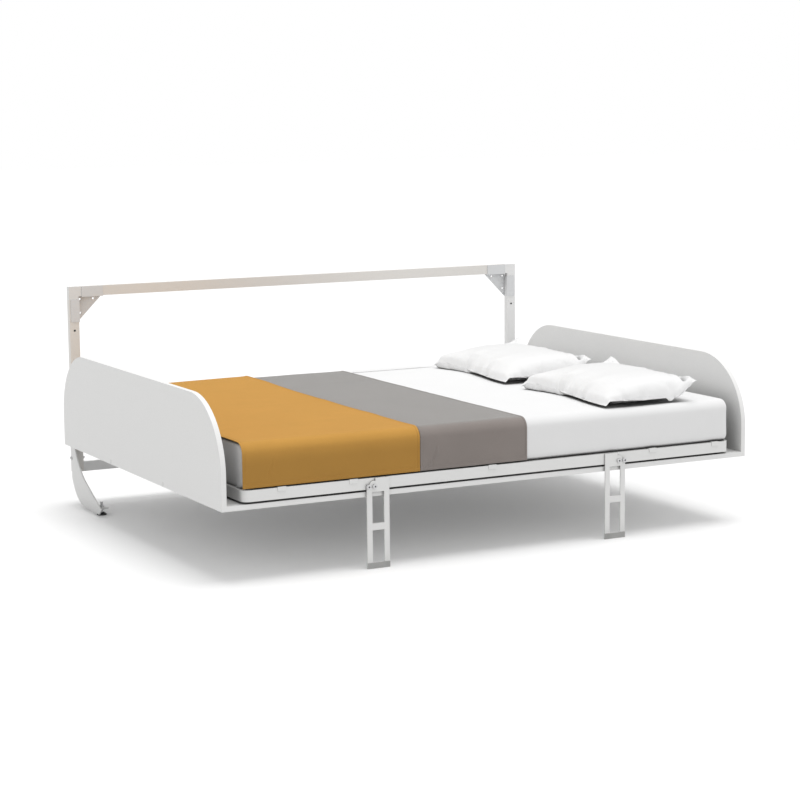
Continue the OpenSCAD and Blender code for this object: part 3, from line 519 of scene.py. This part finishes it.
# ---------------------------------------------------------------- the two covers
HEM_END, HEM_SIDE = 0.014, 0.010           # hem width at a cover's front and rear, and at its sides
SEW_END, SEW_SIDE = 0.0122, 0.0084         # the thread's distance from those edges
STITCH_PITCH, STITCH_L, THREAD_R = 0.0055, 0.0036, 0.00042
# places near an edge, close together round the hem's own edge and its stitching
NEAR_SIDE = np.array([0.0, 0.0008, 0.0022, 0.005, 0.008, 0.0093, 0.010, 0.0107, 0.0125, 0.018, 0.026])
NEAR_END = np.array([0.0, 0.0008, 0.0022, 0.006, 0.011, 0.0132, 0.014, 0.0148, 0.0168, 0.022, 0.03])
COARSE, FINE, FINEST = 0.010, 0.004, 0.002     # steps in the open, over a bend, and across a crease
PACKING_FOLDS = ((0.26, 0.0006), (0.50, 0.0007), (0.745, 0.0006))  # share of the length, and height


def rounded_places(values):
    return set(np.round(values, 5))


def thinned(places, lo, hi, least=0.0006):
    """The places from lo to hi in order, without any closer than least to the one before it."""
    places = sorted(p for p in places if lo <= p <= hi)
    out = places[:1]
    for place in places[1:]:
        if place - out[-1] > least:
            out.append(place)
    return np.array(out)


class Cover:
    """A strip of cloth over the mattress's front edge, top and rear edge. at(x, s) gives points and
    normals of its outer face, x along the bed and s along the strip from its front hem.

    A crease is (x, s, half length, lean, depth). lift raises the right edge, rear_up the cloth towards
    the rear, and over carries the strip past the left end of its CAD solid."""

    def __init__(self, node, seed, creases, lift, rear_up, over):
        lo, hi = box(node)
        self.x0, self.x1 = lo[0] - over, hi[0]
        self.seed, self.creases, self.lift, self.rear_up = seed, creases, lift, rear_up
        out = M_LO[1] - lo[1]               # its outer face beyond the mattress
        self.thickness = out - SHEET_T
        section, normals, _ = profile(lo[1], hi[1], lo[2], hi[2], TOP_R + out, REAR_R + out, 0.0,
                                      0.0001, (0.01, 0.004, 0.01))
        keep = np.r_[True, np.linalg.norm(np.diff(section, axis=0), axis=1) > 1e-6]
        self.section, self.normals = section[keep], normals[keep]
        self.normals[0], self.normals[-1] = (-1, 0), (1, 0)
        self.s = np.r_[0, np.cumsum(np.linalg.norm(np.diff(self.section, axis=0), axis=1))]
        self.length = self.s[-1]
        self.drop = hi[2] - lo[2]

    def crease_relief(self, x, s):
        """The creases' height: a ridge with a groove beside it and a lower swell beyond."""
        d = 0 * x
        for crease_x, crease_s, half, lean, depth in self.creases:
            u = x - crease_x - lean * (s - crease_s) - 0.006 * np.sin((s - crease_s) * 55)
            across = bell(u, 0.004, 0.0040) - 0.85 * bell(u, -0.002, 0.0026) + 0.5 * bell(u, -0.012, 0.007)
            d = d + depth * smooth(half, half * 0.25, np.abs(s - crease_s)) * across
        return d

    def hem_relief(self, edge_s, edge_x):
        """The doubled hem all round, with the groove that its stitching pulls in, and a thin rim."""
        d = -0.0010 * smooth(0.0022, 0.0, np.minimum(edge_s, edge_x))
        for edge, width in ((edge_s, HEM_END), (edge_x, HEM_SIDE)):
            d = d + 0.0007 * smooth(width + 0.0012, width - 0.0002, edge) - 0.0009 * bell(edge, width, 0.0011)
        return d

    def at(self, x, s, raise_by=0.0):
        y, z = (np.interp(s, self.s, self.section[:, k]) for k in (0, 1))
        ny, nz = (np.interp(s, self.s, self.normals[:, k]) for k in (0, 1))
        size = np.maximum(np.hypot(ny, nz), 1e-9)
        ny, nz = ny / size, nz / size
        edge_s = np.minimum(s, self.length - s)
        edge_x = np.minimum(x - self.x0, self.x1 - x)
        hang = smooth(self.drop * 0.9, 0.0, edge_s)             # 1 at a hem, 0 on top
        d = 0.0005 * (wave_noise(x, s, self.seed, 0.40) + 1)
        d = d + 0.0007 * hang * (wave_noise(x, s * 0.25, self.seed + 3, 0.16, 2) + 1)
        # soft folds left from the cloth's packing, square to its length
        for share, height in PACKING_FOLDS:
            d = d + height * bell(s, share * self.length, 0.012)
        d = d + self.crease_relief(x, s) + self.hem_relief(edge_s, edge_x)
        # the right edge stands off a little in long waves
        waves = 0.55 + 0.45 * wave_noise(s, s * 0, self.seed + 9, 0.33, 2)
        d = d + self.lift * smooth(0.05, 0.0, self.x1 - x) * waves * (1 - hang)
        # and the cloth does not quite lie down towards the rear edge
        waves = 1 + 0.25 * wave_noise(x, s, self.seed + 5, 0.5, 2)
        d = d + self.rear_up * smooth(1.05, 1.60, s) * (1 - 0.8 * hang) * waves
        d = np.maximum(d, -0.0004) + raise_by
        return np.stack([x, y + ny * d, z + nz * d], -1), np.stack([x * 0, ny, nz], -1)

    def build(self, name):
        xs = rounded_places(np.r_[self.x0 + NEAR_SIDE, self.x1 - NEAR_SIDE])
        xs |= rounded_places(np.arange(self.x0 + 0.036, self.x1 - 0.03, COARSE))
        for crease_x, _, _, _, depth in self.creases:
            if depth > 0.0006:
                xs |= rounded_places(np.arange(crease_x - 0.024, crease_x + 0.024, FINEST))
        rear_bend = self.length - self.drop
        ss = rounded_places(np.r_[NEAR_END, self.length - NEAR_END])
        ss |= rounded_places(np.arange(0.04, self.length - 0.035, COARSE))
        ss |= rounded_places(np.arange(self.drop - 0.06, self.drop + 0.05, FINE))
        ss |= rounded_places(np.arange(rear_bend - 0.05, rear_bend + 0.06, FINE))
        x, s = np.meshgrid(thinned(xs, self.x0, self.x1), thinned(ss, 0, self.length), indexing="ij")
        ob = grid_mesh(name, self.at(x, s)[0])
        add_modifier(ob, "SOLIDIFY", thickness=self.thickness - 0.0002, offset=-1.0)
        return ob

    def stitches(self, name):
        """The sewing thread round the hem: one small bead a stitch."""
        runs = []
        for s in (SEW_END, self.length - SEW_END):
            count = int((self.x1 - self.x0 - 0.024) / STITCH_PITCH)
            places = self.x0 + 0.012 + STITCH_PITCH * (np.arange(count) + 0.5)
            runs.append((places, np.full(count, s), (STITCH_L / 2, 0)))
        for x in (self.x0 + SEW_SIDE, self.x1 - SEW_SIDE):
            count = int((self.length - 0.03) / STITCH_PITCH)
            places = 0.015 + STITCH_PITCH * (np.arange(count) + 0.5)
            runs.append((np.full(count, x), places, (0, STITCH_L / 2)))
        verts, faces = [], []
        for x, s, (dx, ds) in runs:
            starts, normals = self.at(x - dx, s - ds, 0.0002)
            stops, _ = self.at(x + dx, s + ds, 0.0002)
            for p, q, normal in zip(starts, stops, normals):
                along = (q - p) / max(np.linalg.norm(q - p), 1e-9)
                aside = np.cross(along, normal) * THREAD_R * 1.3
                up, down = normal * THREAD_R * 1.6, normal * THREAD_R * 0.6
                middle = (p + q) / 2 + normal * 0.0002
                k = len(verts)
                verts += [p - down, middle + aside, middle + up, middle - aside, q - down]
                faces += [(k, k + 1, k + 2), (k, k + 2, k + 3), (k + 4, k + 2, k + 1), (k + 4, k + 3, k + 2)]
        return add_mesh(name, verts, faces)


def cover_piece(node, name, cloth, thread, seed, creases, lift, rear_up, over):
    cover = Cover(node, seed, creases, lift, rear_up, over)
    ob = cover.build(name)
    ob.data.materials.append(cloth)
    stitching = cover.stitches(name + "_stitching")
    stitching.data.materials.append(thread)
    for piece in (ob, stitching):
        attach(piece, "bed")
    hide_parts(node)


# the places of the three deeper creases were measured in the photograph
cover_piece("grey_blanket", "grey_blanket_cloth", GREY, GREY_THREAD, seed=31,
            creases=[(-0.270, 0.052, 0.045, 0.10, 0.0020), (-0.296, 0.022, 0.030, 0.55, 0.0010),
                     (-0.06, 0.09, 0.05, -0.2, 0.0004)],
            lift=0.0, rear_up=0.0015, over=0.0)
cover_piece("orange_bedspread", "orange_bedspread_cloth", ORANGE, ORANGE_THREAD, seed=47,
            creases=[(-0.902, 0.060, 0.040, 0.06, 0.0016), (-0.62, 0.085, 0.05, 0.1, 0.0004)],
            lift=0.0026, rear_up=0.0075, over=0.008)

# ---------------------------------------------------------------- pillows: the case and its filling
CASE_W, CASE_L = 0.44, 0.66
CELLS_W, CELLS_L = 44, 66        # cells of the case's two faces in the simulation, across and along
PILLOW_SEED = 3
FRAMES = 26                      # of the simulation
FLANGE = 0.0105                  # flat sewn rim outside the filling
PILLOW_T = 0.104                 # thickness of the filled case
CENTRE_H = 0.051                 # height of its middle plane over the sheet
TOP_Z = S_HI[2]                  # the sheet's upper side
CLOTH_SETTINGS = {
    "quality": 7, "mass": 0.12, "tension_stiffness": 18, "compression_stiffness": 18,
    "shear_stiffness": 6, "bending_stiffness": 0.12, "tension_damping": 6,
    "compression_damping": 6, "shear_damping": 6, "air_damping": 2,
    "use_pressure": True, "uniform_pressure_force": 4.5,
}


def flat_case():
    """A sewn case lying flat: two faces that share their seam. Gives its vertices and faces, the place
    of each vertex across and along (0 to 1), its layer (1 above, -1 below, 0 in the seam), and a grid
    of vertex numbers for the upper and for the lower face."""
    upper = np.full((CELLS_W + 1, CELLS_L + 1), -1)
    lower = upper.copy()
    places, layer, faces = [], [], []
    for grid, side in ((upper, 1), (lower, -1)):
        for i in range(CELLS_W + 1):
            for j in range(CELLS_L + 1):
                seam = i in (0, CELLS_W) or j in (0, CELLS_L)
                if seam and side == -1:
                    grid[i, j] = upper[i, j]
                    continue
                grid[i, j] = len(places)
                places.append((i / CELLS_W, j / CELLS_L))
                layer.append(0 if seam else side)
    for grid, side in ((upper, 1), (lower, -1)):
        for i in range(CELLS_W):
            for j in range(CELLS_L):
                quad = [grid[i, j], grid[i + 1, j], grid[i + 1, j + 1], grid[i, j + 1]]
                faces.append(quad if side == 1 else quad[::-1])
    u, v = np.array(places).T
    layer = np.array(layer)
    z = layer * 0.006 * np.sin(np.pi * u) ** 0.5 * np.sin(np.pi * v) ** 0.5
    # the corners are cut a little wide, as in any knife-edged case
    wide = 1 + 0.012 * ((2 * u - 1) * (2 * v - 1)) ** 2
    points = np.stack([(u - 0.5) * CASE_W * wide, (v - 0.5) * CASE_L * wide, z], 1)
    return points, faces, u, v, layer, upper, lower


def relaxed(grid, rounds=45):
    """Smooths the middle of one face and leaves the gathers near its seam."""
    across, along = np.arange(CELLS_W + 1), np.arange(CELLS_L + 1)
    edge = np.minimum.outer(np.minimum(across, CELLS_W - across) * CASE_W / CELLS_W,
                            np.minimum(along, CELLS_L - along) * CASE_L / CELLS_L)
    share = 0.85 * smooth(0.012, 0.075, edge)[1:-1, 1:-1, None]
    for _ in range(rounds):
        mean = (grid[:-2, 1:-1] + grid[2:, 1:-1] + grid[1:-1, :-2] + grid[1:-1, 2:]) / 4
        grid[1:-1, 1:-1] += (mean - grid[1:-1, 1:-1]) * share
    return grid


def filled_case():
    """Gives its upper and lower face as grids of points."""
    points, faces, u, v, layer, upper, lower = flat_case()
    rng = np.random.default_rng(PILLOW_SEED)
    points[:, 2] += np.where(layer != 0, rng.normal(0, 0.0006, len(points)), 0)
    ob = add_mesh("case", points, faces)
    cloth = ob.modifiers.new("cloth", "CLOTH")
    for key, value in CLOTH_SETTINGS.items():
        setattr(cloth.settings, key, value)
    cloth.settings.effector_weights.gravity = 0
    cloth.collision_settings.use_collision = False
    cloth.point_cache.frame_start, cloth.point_cache.frame_end = 1, 30
    for f in range(1, FRAMES + 1):
        SCENE.frame_set(f)
    result = ob.evaluated_get(bpy.context.evaluated_depsgraph_get()).data
    out = np.empty(len(result.vertices) * 3)
    result.vertices.foreach_get("co", out)
    out = out.reshape(-1, 3)
    SCENE.frame_set(1)
    bpy.data.objects.remove(ob)
    out -= (out.max(0) + out.min(0)) / 2
    return relaxed(out[upper]), relaxed(out[lower])


# ---------------------------------------------------------------- pillows: the seam
def bow(t, deepest, power=1.0):
    """A hollow along an edge: 0 at both ends and 1 at the place deepest, between 0 and 1."""
    return np.clip(np.sin(np.pi * t ** (math.log(0.5) / math.log(deepest))), 0, 1) ** power


def heights(ends, rise, fall, middle, t):
    """Heights along an edge: from its first end over to middle before the place rise, and to its last
    end after fall."""
    first, last = smooth(0, rise, t), smooth(fall, 1, t)
    return (ends[0] * (1 - first) + middle * first) * (1 - last) + ends[-1] * last


def corners_of(node, aside, far_up):
    """The seam's corners, by those of the node's box and each at its own height over the sheet: the
    left ones rest on it and the right ones are propped up, the rear one by far_up more. The offsets
    here and in seam_sides follow places that were measured in the photograph."""
    lo, hi = box(node)
    corners = {
        "front_left": (lo[0] + 0.011, lo[1] + 0.005, 0.0115),
        "rear_left": (lo[0] + 0.022, hi[1] - 0.003, 0.0105),
        "front_right": (hi[0] - 0.007, lo[1] - 0.011, 0.0795),
        "rear_right": (hi[0] + 0.017, hi[1] - 0.018, 0.1055 + far_up),
    }
    return {name: np.array(place) + (aside, 0, TOP_Z) for name, place in corners.items()}


def seam_sides(node, across, along, aside=0.0, far_up=0.0):
    """Points along a pillow's seam: the left and right side, front to rear, at the places along, and
    the front and rear, left to right, at the places across. The sides draw in between the corners."""
    corners = corners_of(node, aside, far_up)

    def straight(start, stop, t):
        return corners[start] + (corners[stop] - corners[start]) * t[:, None]

    t = along
    left = straight("front_left", "rear_left", t)
    left[:, 0] += 0.044 * bow(t, 0.64, 1.2)
    rim = TOP_Z + 0.0115 + 0.016 * smooth(0.5, 0.92, t)        # raised before the rear corner
    left[:, 2] = heights(left[:, 2], 0.06, 0.94, rim, t)

    right = straight("front_right", "rear_right", t)
    right[:, 0] -= 0.020 * bow(t, 0.61)
    rim = TOP_Z + 0.0705 + 0.016 * bell(t, 0.07, 0.075)
    right[:, 2] = heights(right[:, 2], 0.06, 0.74, rim, t)

    t = across
    front = straight("front_left", "front_right", t)
    front[:, 0] -= 0.027 * smooth(0.04, 0.42, t) * smooth(0.86, 0.48, t)
    front[:, 1] += 0.016 * bow(t, 0.74) + 0.005 * bell(t, 0.745, 0.03)
    droop = 0.020 * bell(t, 0.745, 0.022)                      # down to the sheet in one place
    rim = TOP_Z + 0.029 - 0.007 * smooth(0.15, 0.70, t) - droop
    front[:, 2] = heights(front[:, 2], 0.06, 0.79, rim, t)

    rear = straight("rear_left", "rear_right", t)
    rear[:, 0] += 0.007 * bow(t, 0.5)
    rear[:, 1] -= 0.026 * bow(t, 0.5)
    rear[:, 2] -= 0.012 * bow(t, 0.85)
    return left, right, front, rear


# ---------------------------------------------------------------- pillows: laying the case on the sheet
def edge_spaced(size, step=0.0095):
    """Places 0 to 1 across a face of the given size, closer together near both seams."""
    near = np.array([0, 0.003, 0.006, 0.0085, 0.0105, 0.0125, 0.015, 0.019, 0.024, 0.031, 0.039])
    mid = np.linspace(near[-1], size - near[-1], int(round((size - 2 * near[-1]) / step)) + 1)
    return np.r_[near[:-1], mid, (size - near[:-1])[::-1]] / size


def cubic_weights(n, t):
    """Catmull-Rom weights that carry values known at n + 1 even places over to the places t, 0 to 1."""
    weights = np.zeros((len(t), n + 1))
    x = np.clip(t, 0, 1) * n
    i = np.minimum(x.astype(int), n - 1)
    f = x - i
    for k, w in ((-1, (-f + 2 * f ** 2 - f ** 3) / 2), (0, (2 - 5 * f ** 2 + 3 * f ** 3) / 2),
                 (1, (f + 4 * f ** 2 - 3 * f ** 3) / 2), (2, (-f ** 2 + f ** 3) / 2)):
        np.add.at(weights, (np.arange(len(t)), np.clip(i + k, 0, n)), w)
    return weights


# the places of a laid case's points across and along its faces, and their distances from its seams
ACROSS, ALONG = edge_spaced(CASE_W), edge_spaced(CASE_L)
U, V = np.meshgrid(ACROSS, ALONG, indexing="ij")
FROM_LEFT, FROM_RIGHT = U * CASE_W, (1 - U) * CASE_W
FROM_FRONT, FROM_REAR = V * CASE_L, (1 - V) * CASE_L
EDGE = np.minimum.reduce([FROM_LEFT, FROM_RIGHT, FROM_FRONT, FROM_REAR])
# how far along the nearest seam; by the rear seam it is the distance from the front
RUN = np.where(EDGE == FROM_FRONT, FROM_LEFT, FROM_FRONT)


def coons(left, right, front, rear):
    """The patch between four border curves, given as rows of points."""
    u, v = U[..., None], V[..., None]
    sides = (1 - u) * left[None] + u * right[None] + (1 - v) * front[:, None] + v * rear[:, None]
    near = (1 - u) * (1 - v) * front[0] + u * (1 - v) * front[-1]
    far = (1 - u) * v * rear[0] + u * v * rear[-1]
    return sides - (near + far)


def fit_to_seam(shape, sides):
    """The two faces of the filled case, moved so that their seam follows the four sides."""
    weights = cubic_weights(CELLS_W, ACROSS), cubic_weights(CELLS_L, ALONG)
    upper, lower = (np.einsum("ai,ijk,bj->abk", weights[0], grid, weights[1]) for grid in shape)
    scale = PILLOW_T / (upper[..., 2].max() - lower[..., 2].min())
    for face in (upper, lower):
        face[..., 2] *= scale
    own = coons(upper[0], upper[-1], upper[:, 0], upper[:, -1])
    target = coons(*sides)
    flat = smooth(FLANGE - 0.001, FLANGE + 0.012, EDGE)
    inner = smooth(0.0, 0.085, EDGE) * flat
    fitted_faces = []
    for face, sign in ((upper, 1), (lower, -1)):
        dome = (face - own)[..., 2] * sign
        top = dome.max()
        dome = top * (1 - np.clip(1 - dome / top, 0, None) ** 1.7) * flat      # plump, with a steep side
        dome = np.maximum(dome, 0.0008 * smooth(0, 0.003, EDGE))
        rim = target[..., 2] + sign * dome
        body = TOP_Z + CENTRE_H + sign * dome + 0.030 * (U - 0.5)
        points = face + target - own
        points[..., 2] = rim * (1 - inner) + body * inner
        fitted_faces.append(points)
    return fitted_faces


def rim_relief():
    """What the sewn rim adds to the upper face: its stitched line, a front rim that hangs down from
    the stitching, and a side that stands up steeply by the left rear corner."""
    middle = smooth(0.30, 0.42, U)
    groove = 0.0012 + 0.0028 * (EDGE == FROM_FRONT) * middle * smooth(0.76, 0.72, U)
    front = smooth(0.0, 0.009, FROM_FRONT) * smooth(0.085, 0.03, FROM_FRONT)
    front = front * middle * smooth(0.745, 0.725, U)
    side = smooth(0.004, 0.014, FROM_LEFT) * smooth(0.09, 0.03, FROM_LEFT)
    side = side * smooth(0.68, 0.80, V) * smooth(0.0, 0.02, FROM_REAR)
    return 0.009 * front + 0.006 * side - groove * bell(EDGE, FLANGE, 0.0018)


def gather_relief():
    """Gathers that run in from the seam, strongest at the left rear and the right front corner."""
    gathers = 0.0040 * wave_noise(RUN, EDGE * 0.35, 17, 0.030, 2)
    gathers *= np.exp(-np.abs(EDGE - 0.018) / 0.016) * smooth(0.0, 0.006, EDGE)
    left_rear = bell(np.hypot(FROM_LEFT, FROM_REAR), 0, 0.16)
    right_front = bell(np.hypot(FROM_RIGHT, FROM_FRONT), 0, 0.12)
    return gathers * (0.35 + 1.5 * left_rear + 0.9 * right_front + 0.9 * bell(FROM_LEFT, 0, 0.03))


# creases pressed into the top: from one place (u, v) of the face to another, with width and depth.
# Their places were looked up in the photograph and adjusted.
CREASES = [
    (0.855, 0.066, 0.765, 0.030, 0.0050, 0.0055),
    (0.700, 0.068, 0.775, 0.044, 0.0090, 0.0065),
    (0.620, 0.094, 0.676, 0.062, 0.0045, 0.0042),
    (0.672, 0.060, 0.745, 0.128, 0.0050, 0.0052),
    (0.945, 0.275, 0.905, 0.078, 0.0115, 0.0380),
    (0.925, -0.010, 0.945, 0.050, 0.0040, 0.0090),
    (0.955, 0.885, 0.975, 0.950, 0.0060, 0.0090),
    (0.790, 0.720, 0.800, 0.600, 0.0060, 0.0040),
]


def crease_relief():
    out = np.zeros_like(U)
    for u0, v0, u1, v1, width, depth in CREASES:
        dx, dy = (u1 - u0) * CASE_W, (v1 - v0) * CASE_L
        x, y = (U - u0) * CASE_W, (V - v0) * CASE_L
        t = np.clip((x * dx + y * dy) / (dx ** 2 + dy ** 2), 0, 1)
        gap = np.hypot(x - t * dx, y - t * dy)
        across = bell(gap, 0, width) - 0.35 * bell(gap, 2 * width, width)
        out -= depth * across * (1 - 0.6 * np.abs(2 * t - 1))
    return out


def prop_underside(lower, left, front):
    """The filling holds the underside up behind the front and left seams, so that the rim stands off
    the sheet. By the left rear corner it comes down in puckers close behind the raised rim."""
    front_rim = np.maximum(front[:, None, 2] + 0 * V, TOP_Z + 0.024)
    left_rim = left[None, :, 2] + 0 * U
    for rim, share in ((front_rim, smooth(0.15, 0.08, FROM_FRONT) * smooth(0.985, 0.93, U)),
                       (left_rim, smooth(0.07, 0.02, FROM_LEFT) * smooth(0.55, 0.2, V))):
        lower[..., 2] = np.maximum(lower[..., 2], TOP_Z + (rim - 0.004 - TOP_Z) * share)
    rearward = smooth(0.52, 0.68, V) * smooth(1.0, 0.97, V)
    drop = rearward * smooth(0.001, 0.017, FROM_LEFT) * smooth(0.12, 0.06, FROM_LEFT)
    puckers = wave_noise(RUN, FROM_LEFT * 0.4, 23, 0.028, 2) * rearward * bell(FROM_LEFT, 0.009, 0.006)
    lower[..., 2] += (TOP_Z - lower[..., 2]) * drop + 0.0045 * puckers


def settle(upper, lower):
    """The sheet carries the case: what would sink in lies flat on it, and the faces stay apart."""
    rest, soft = TOP_Z + 0.0012, 0.004
    for face in (upper, lower):
        z = face[..., 2]
        sunk = z < rest + soft
        z[sunk] = rest + soft * np.exp((z[sunk] - rest - soft) / soft)
    apart = np.minimum(lower[..., 2], upper[..., 2] - 0.0016 * smooth(0, 0.004, EDGE))
    lower[..., 2] = np.where(EDGE > 0, apart, upper[..., 2])


def closed_case(name, upper, lower):
    """One closed mesh of both faces, which share the points of their seam."""
    rows, columns = U.shape
    above = np.arange(rows * columns).reshape(rows, columns)
    below = above.copy()
    inside = (rows - 2) * (columns - 2)
    below[1:-1, 1:-1] = rows * columns + np.arange(inside).reshape(rows - 2, columns - 2)
    quads = []
    for grid, turned in ((above, False), (below, True)):
        a, b, c, d = grid[:-1, :-1], grid[1:, :-1], grid[1:, 1:], grid[:-1, 1:]
        quads.append(np.stack([a, d, c, b] if turned else [a, b, c, d], -1).reshape(-1, 4))
    verts = np.concatenate([upper.reshape(-1, 3), lower[1:-1, 1:-1].reshape(-1, 3)])
    return add_mesh(name, verts, np.concatenate(quads))


def lay_pillow(name, node, shape, aside=0.0, far_up=0.0):
    """Lays the filled case on the sheet, in the place of a pillow's CAD solid."""
    sides = seam_sides(node, ACROSS, ALONG, aside, far_up)
    upper, lower = fit_to_seam(shape, sides)
    upper[..., 2] += rim_relief() + gather_relief() + crease_relief()
    prop_underside(lower, sides[0], sides[2])
    settle(upper, lower)
    ob = closed_case(name, upper, lower)
    add_modifier(ob, "SUBSURF", levels=1, render_levels=1)
    ob.data.materials.append(PILLOW)
    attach(ob, "bed")
    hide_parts(node)


case = filled_case()
lay_pillow("pillow_front_case", "pillow_front", case)
lay_pillow("pillow_back_case", "pillow_back", case, aside=-0.004, far_up=0.006)

# ---------------------------------------------------------------- floor
FLOOR_HALF = 40.0


def floor_material():
    """A pale matt floor. The camera sees it in a lighter tone than the light does."""
    m, nt, bsdf = new_material("floor_white")
    bsdf.inputs["Roughness"].default_value = 1.0
    bsdf.inputs["Specular IOR Level"].default_value = 0.0
    bsdf.inputs["Base Color"].default_value = (0.70, 0.70, 0.70, 1)
    pale = add_node(nt, "BsdfDiffuse", {"Color": (0.93, 0.93, 0.93, 1)}).outputs[0]
    glow = add_node(nt, "Emission", {"Strength": 0.06}).outputs[0]
    shown = add_node(nt, "AddShader", {0: pale, 1: glow}).outputs[0]
    seen = add_node(nt, "LightPath").outputs["Is Camera Ray"]
    surface = mix_shaders(nt, seen, bsdf.outputs[0], shown)
    nt.links.new(surface, nt.nodes["Material Output"].inputs["Surface"])
    return m


corners = [(-FLOOR_HALF, -FLOOR_HALF, 0), (FLOOR_HALF, -FLOOR_HALF, 0),
           (FLOOR_HALF, FLOOR_HALF, 0), (-FLOOR_HALF, FLOOR_HALF, 0)]
floor = add_mesh("floor", corners, [(0, 1, 2, 3)], False)
floor.data.materials.append(floor_material())

# ---------------------------------------------------------------- light
AMBIENT = 0.70                   # strength of the light from all round
SUN_STRENGTH, SUN_SPREAD = 1.40, 36
SUN_TILT = (4, 6)                # degrees about X and Y from straight above


def studio_world():
    """Even light from all round, and a white surround for the camera and for reflections."""
    world = bpy.data.worlds.new("studio")
    SCENE.world = world
    world.use_nodes = True
    nt = world.node_tree
    nt.nodes.clear()
    white = (1, 1, 1, 1)
    ambient = add_node(nt, "Background", {"Color": white, "Strength": AMBIENT}).outputs[0]
    surround = add_node(nt, "Background", {"Color": white, "Strength": 1.0}).outputs[0]
    rays = add_node(nt, "LightPath").outputs
    seen = calc(nt, "MAXIMUM", rays["Is Camera Ray"], rays["Is Glossy Ray"])
    seen = calc(nt, "MAXIMUM", seen, rays["Is Transmission Ray"])
    add_node(nt, "OutputWorld", {"Surface": mix_shaders(nt, seen, ambient, surround)})


def top_light():
    light = bpy.data.lights.new("top_soft", "SUN")
    light.energy = SUN_STRENGTH
    light.angle = math.radians(SUN_SPREAD)
    ob = bpy.data.objects.new("top_soft", light)
    ob.rotation_euler = (math.radians(SUN_TILT[0]), math.radians(SUN_TILT[1]), 0)
    SCENE.collection.objects.link(ob)


studio_world()
top_light()

# ---------------------------------------------------------------- camera
CAMERA_AT = (-3.744, -7.1528, 1.6277)
YAW, PITCH, ROLL = math.radians(27.79), math.radians(8.296), math.radians(-0.506)
LENS, SENSOR = 93.66, 36         # millimetres


def aim(yaw, pitch, roll):
    """A camera's rotation: yaw from +Y towards +X, pitch downwards, roll about its own axis."""
    forward = Vector((math.sin(yaw) * math.cos(pitch), math.cos(yaw) * math.cos(pitch), -math.sin(pitch)))
    level = Vector((math.cos(yaw), -math.sin(yaw), 0))
    upright = level.cross(forward)
    right = level * math.cos(roll) + upright * math.sin(roll)
    up = upright * math.cos(roll) - level * math.sin(roll)
    return Matrix((right, up, -forward)).transposed().to_4x4()


camera = bpy.data.cameras.new("camera")
camera.sensor_width = SENSOR
camera.lens = LENS
camera.clip_start, camera.clip_end = 0.1, 200
camera_object = bpy.data.objects.new("camera", camera)
camera_object.matrix_world = Matrix.Translation(CAMERA_AT) @ aim(YAW, PITCH, ROLL)
SCENE.collection.objects.link(camera_object)
SCENE.camera = camera_object
SCENE.view_settings.view_transform = "Standard"
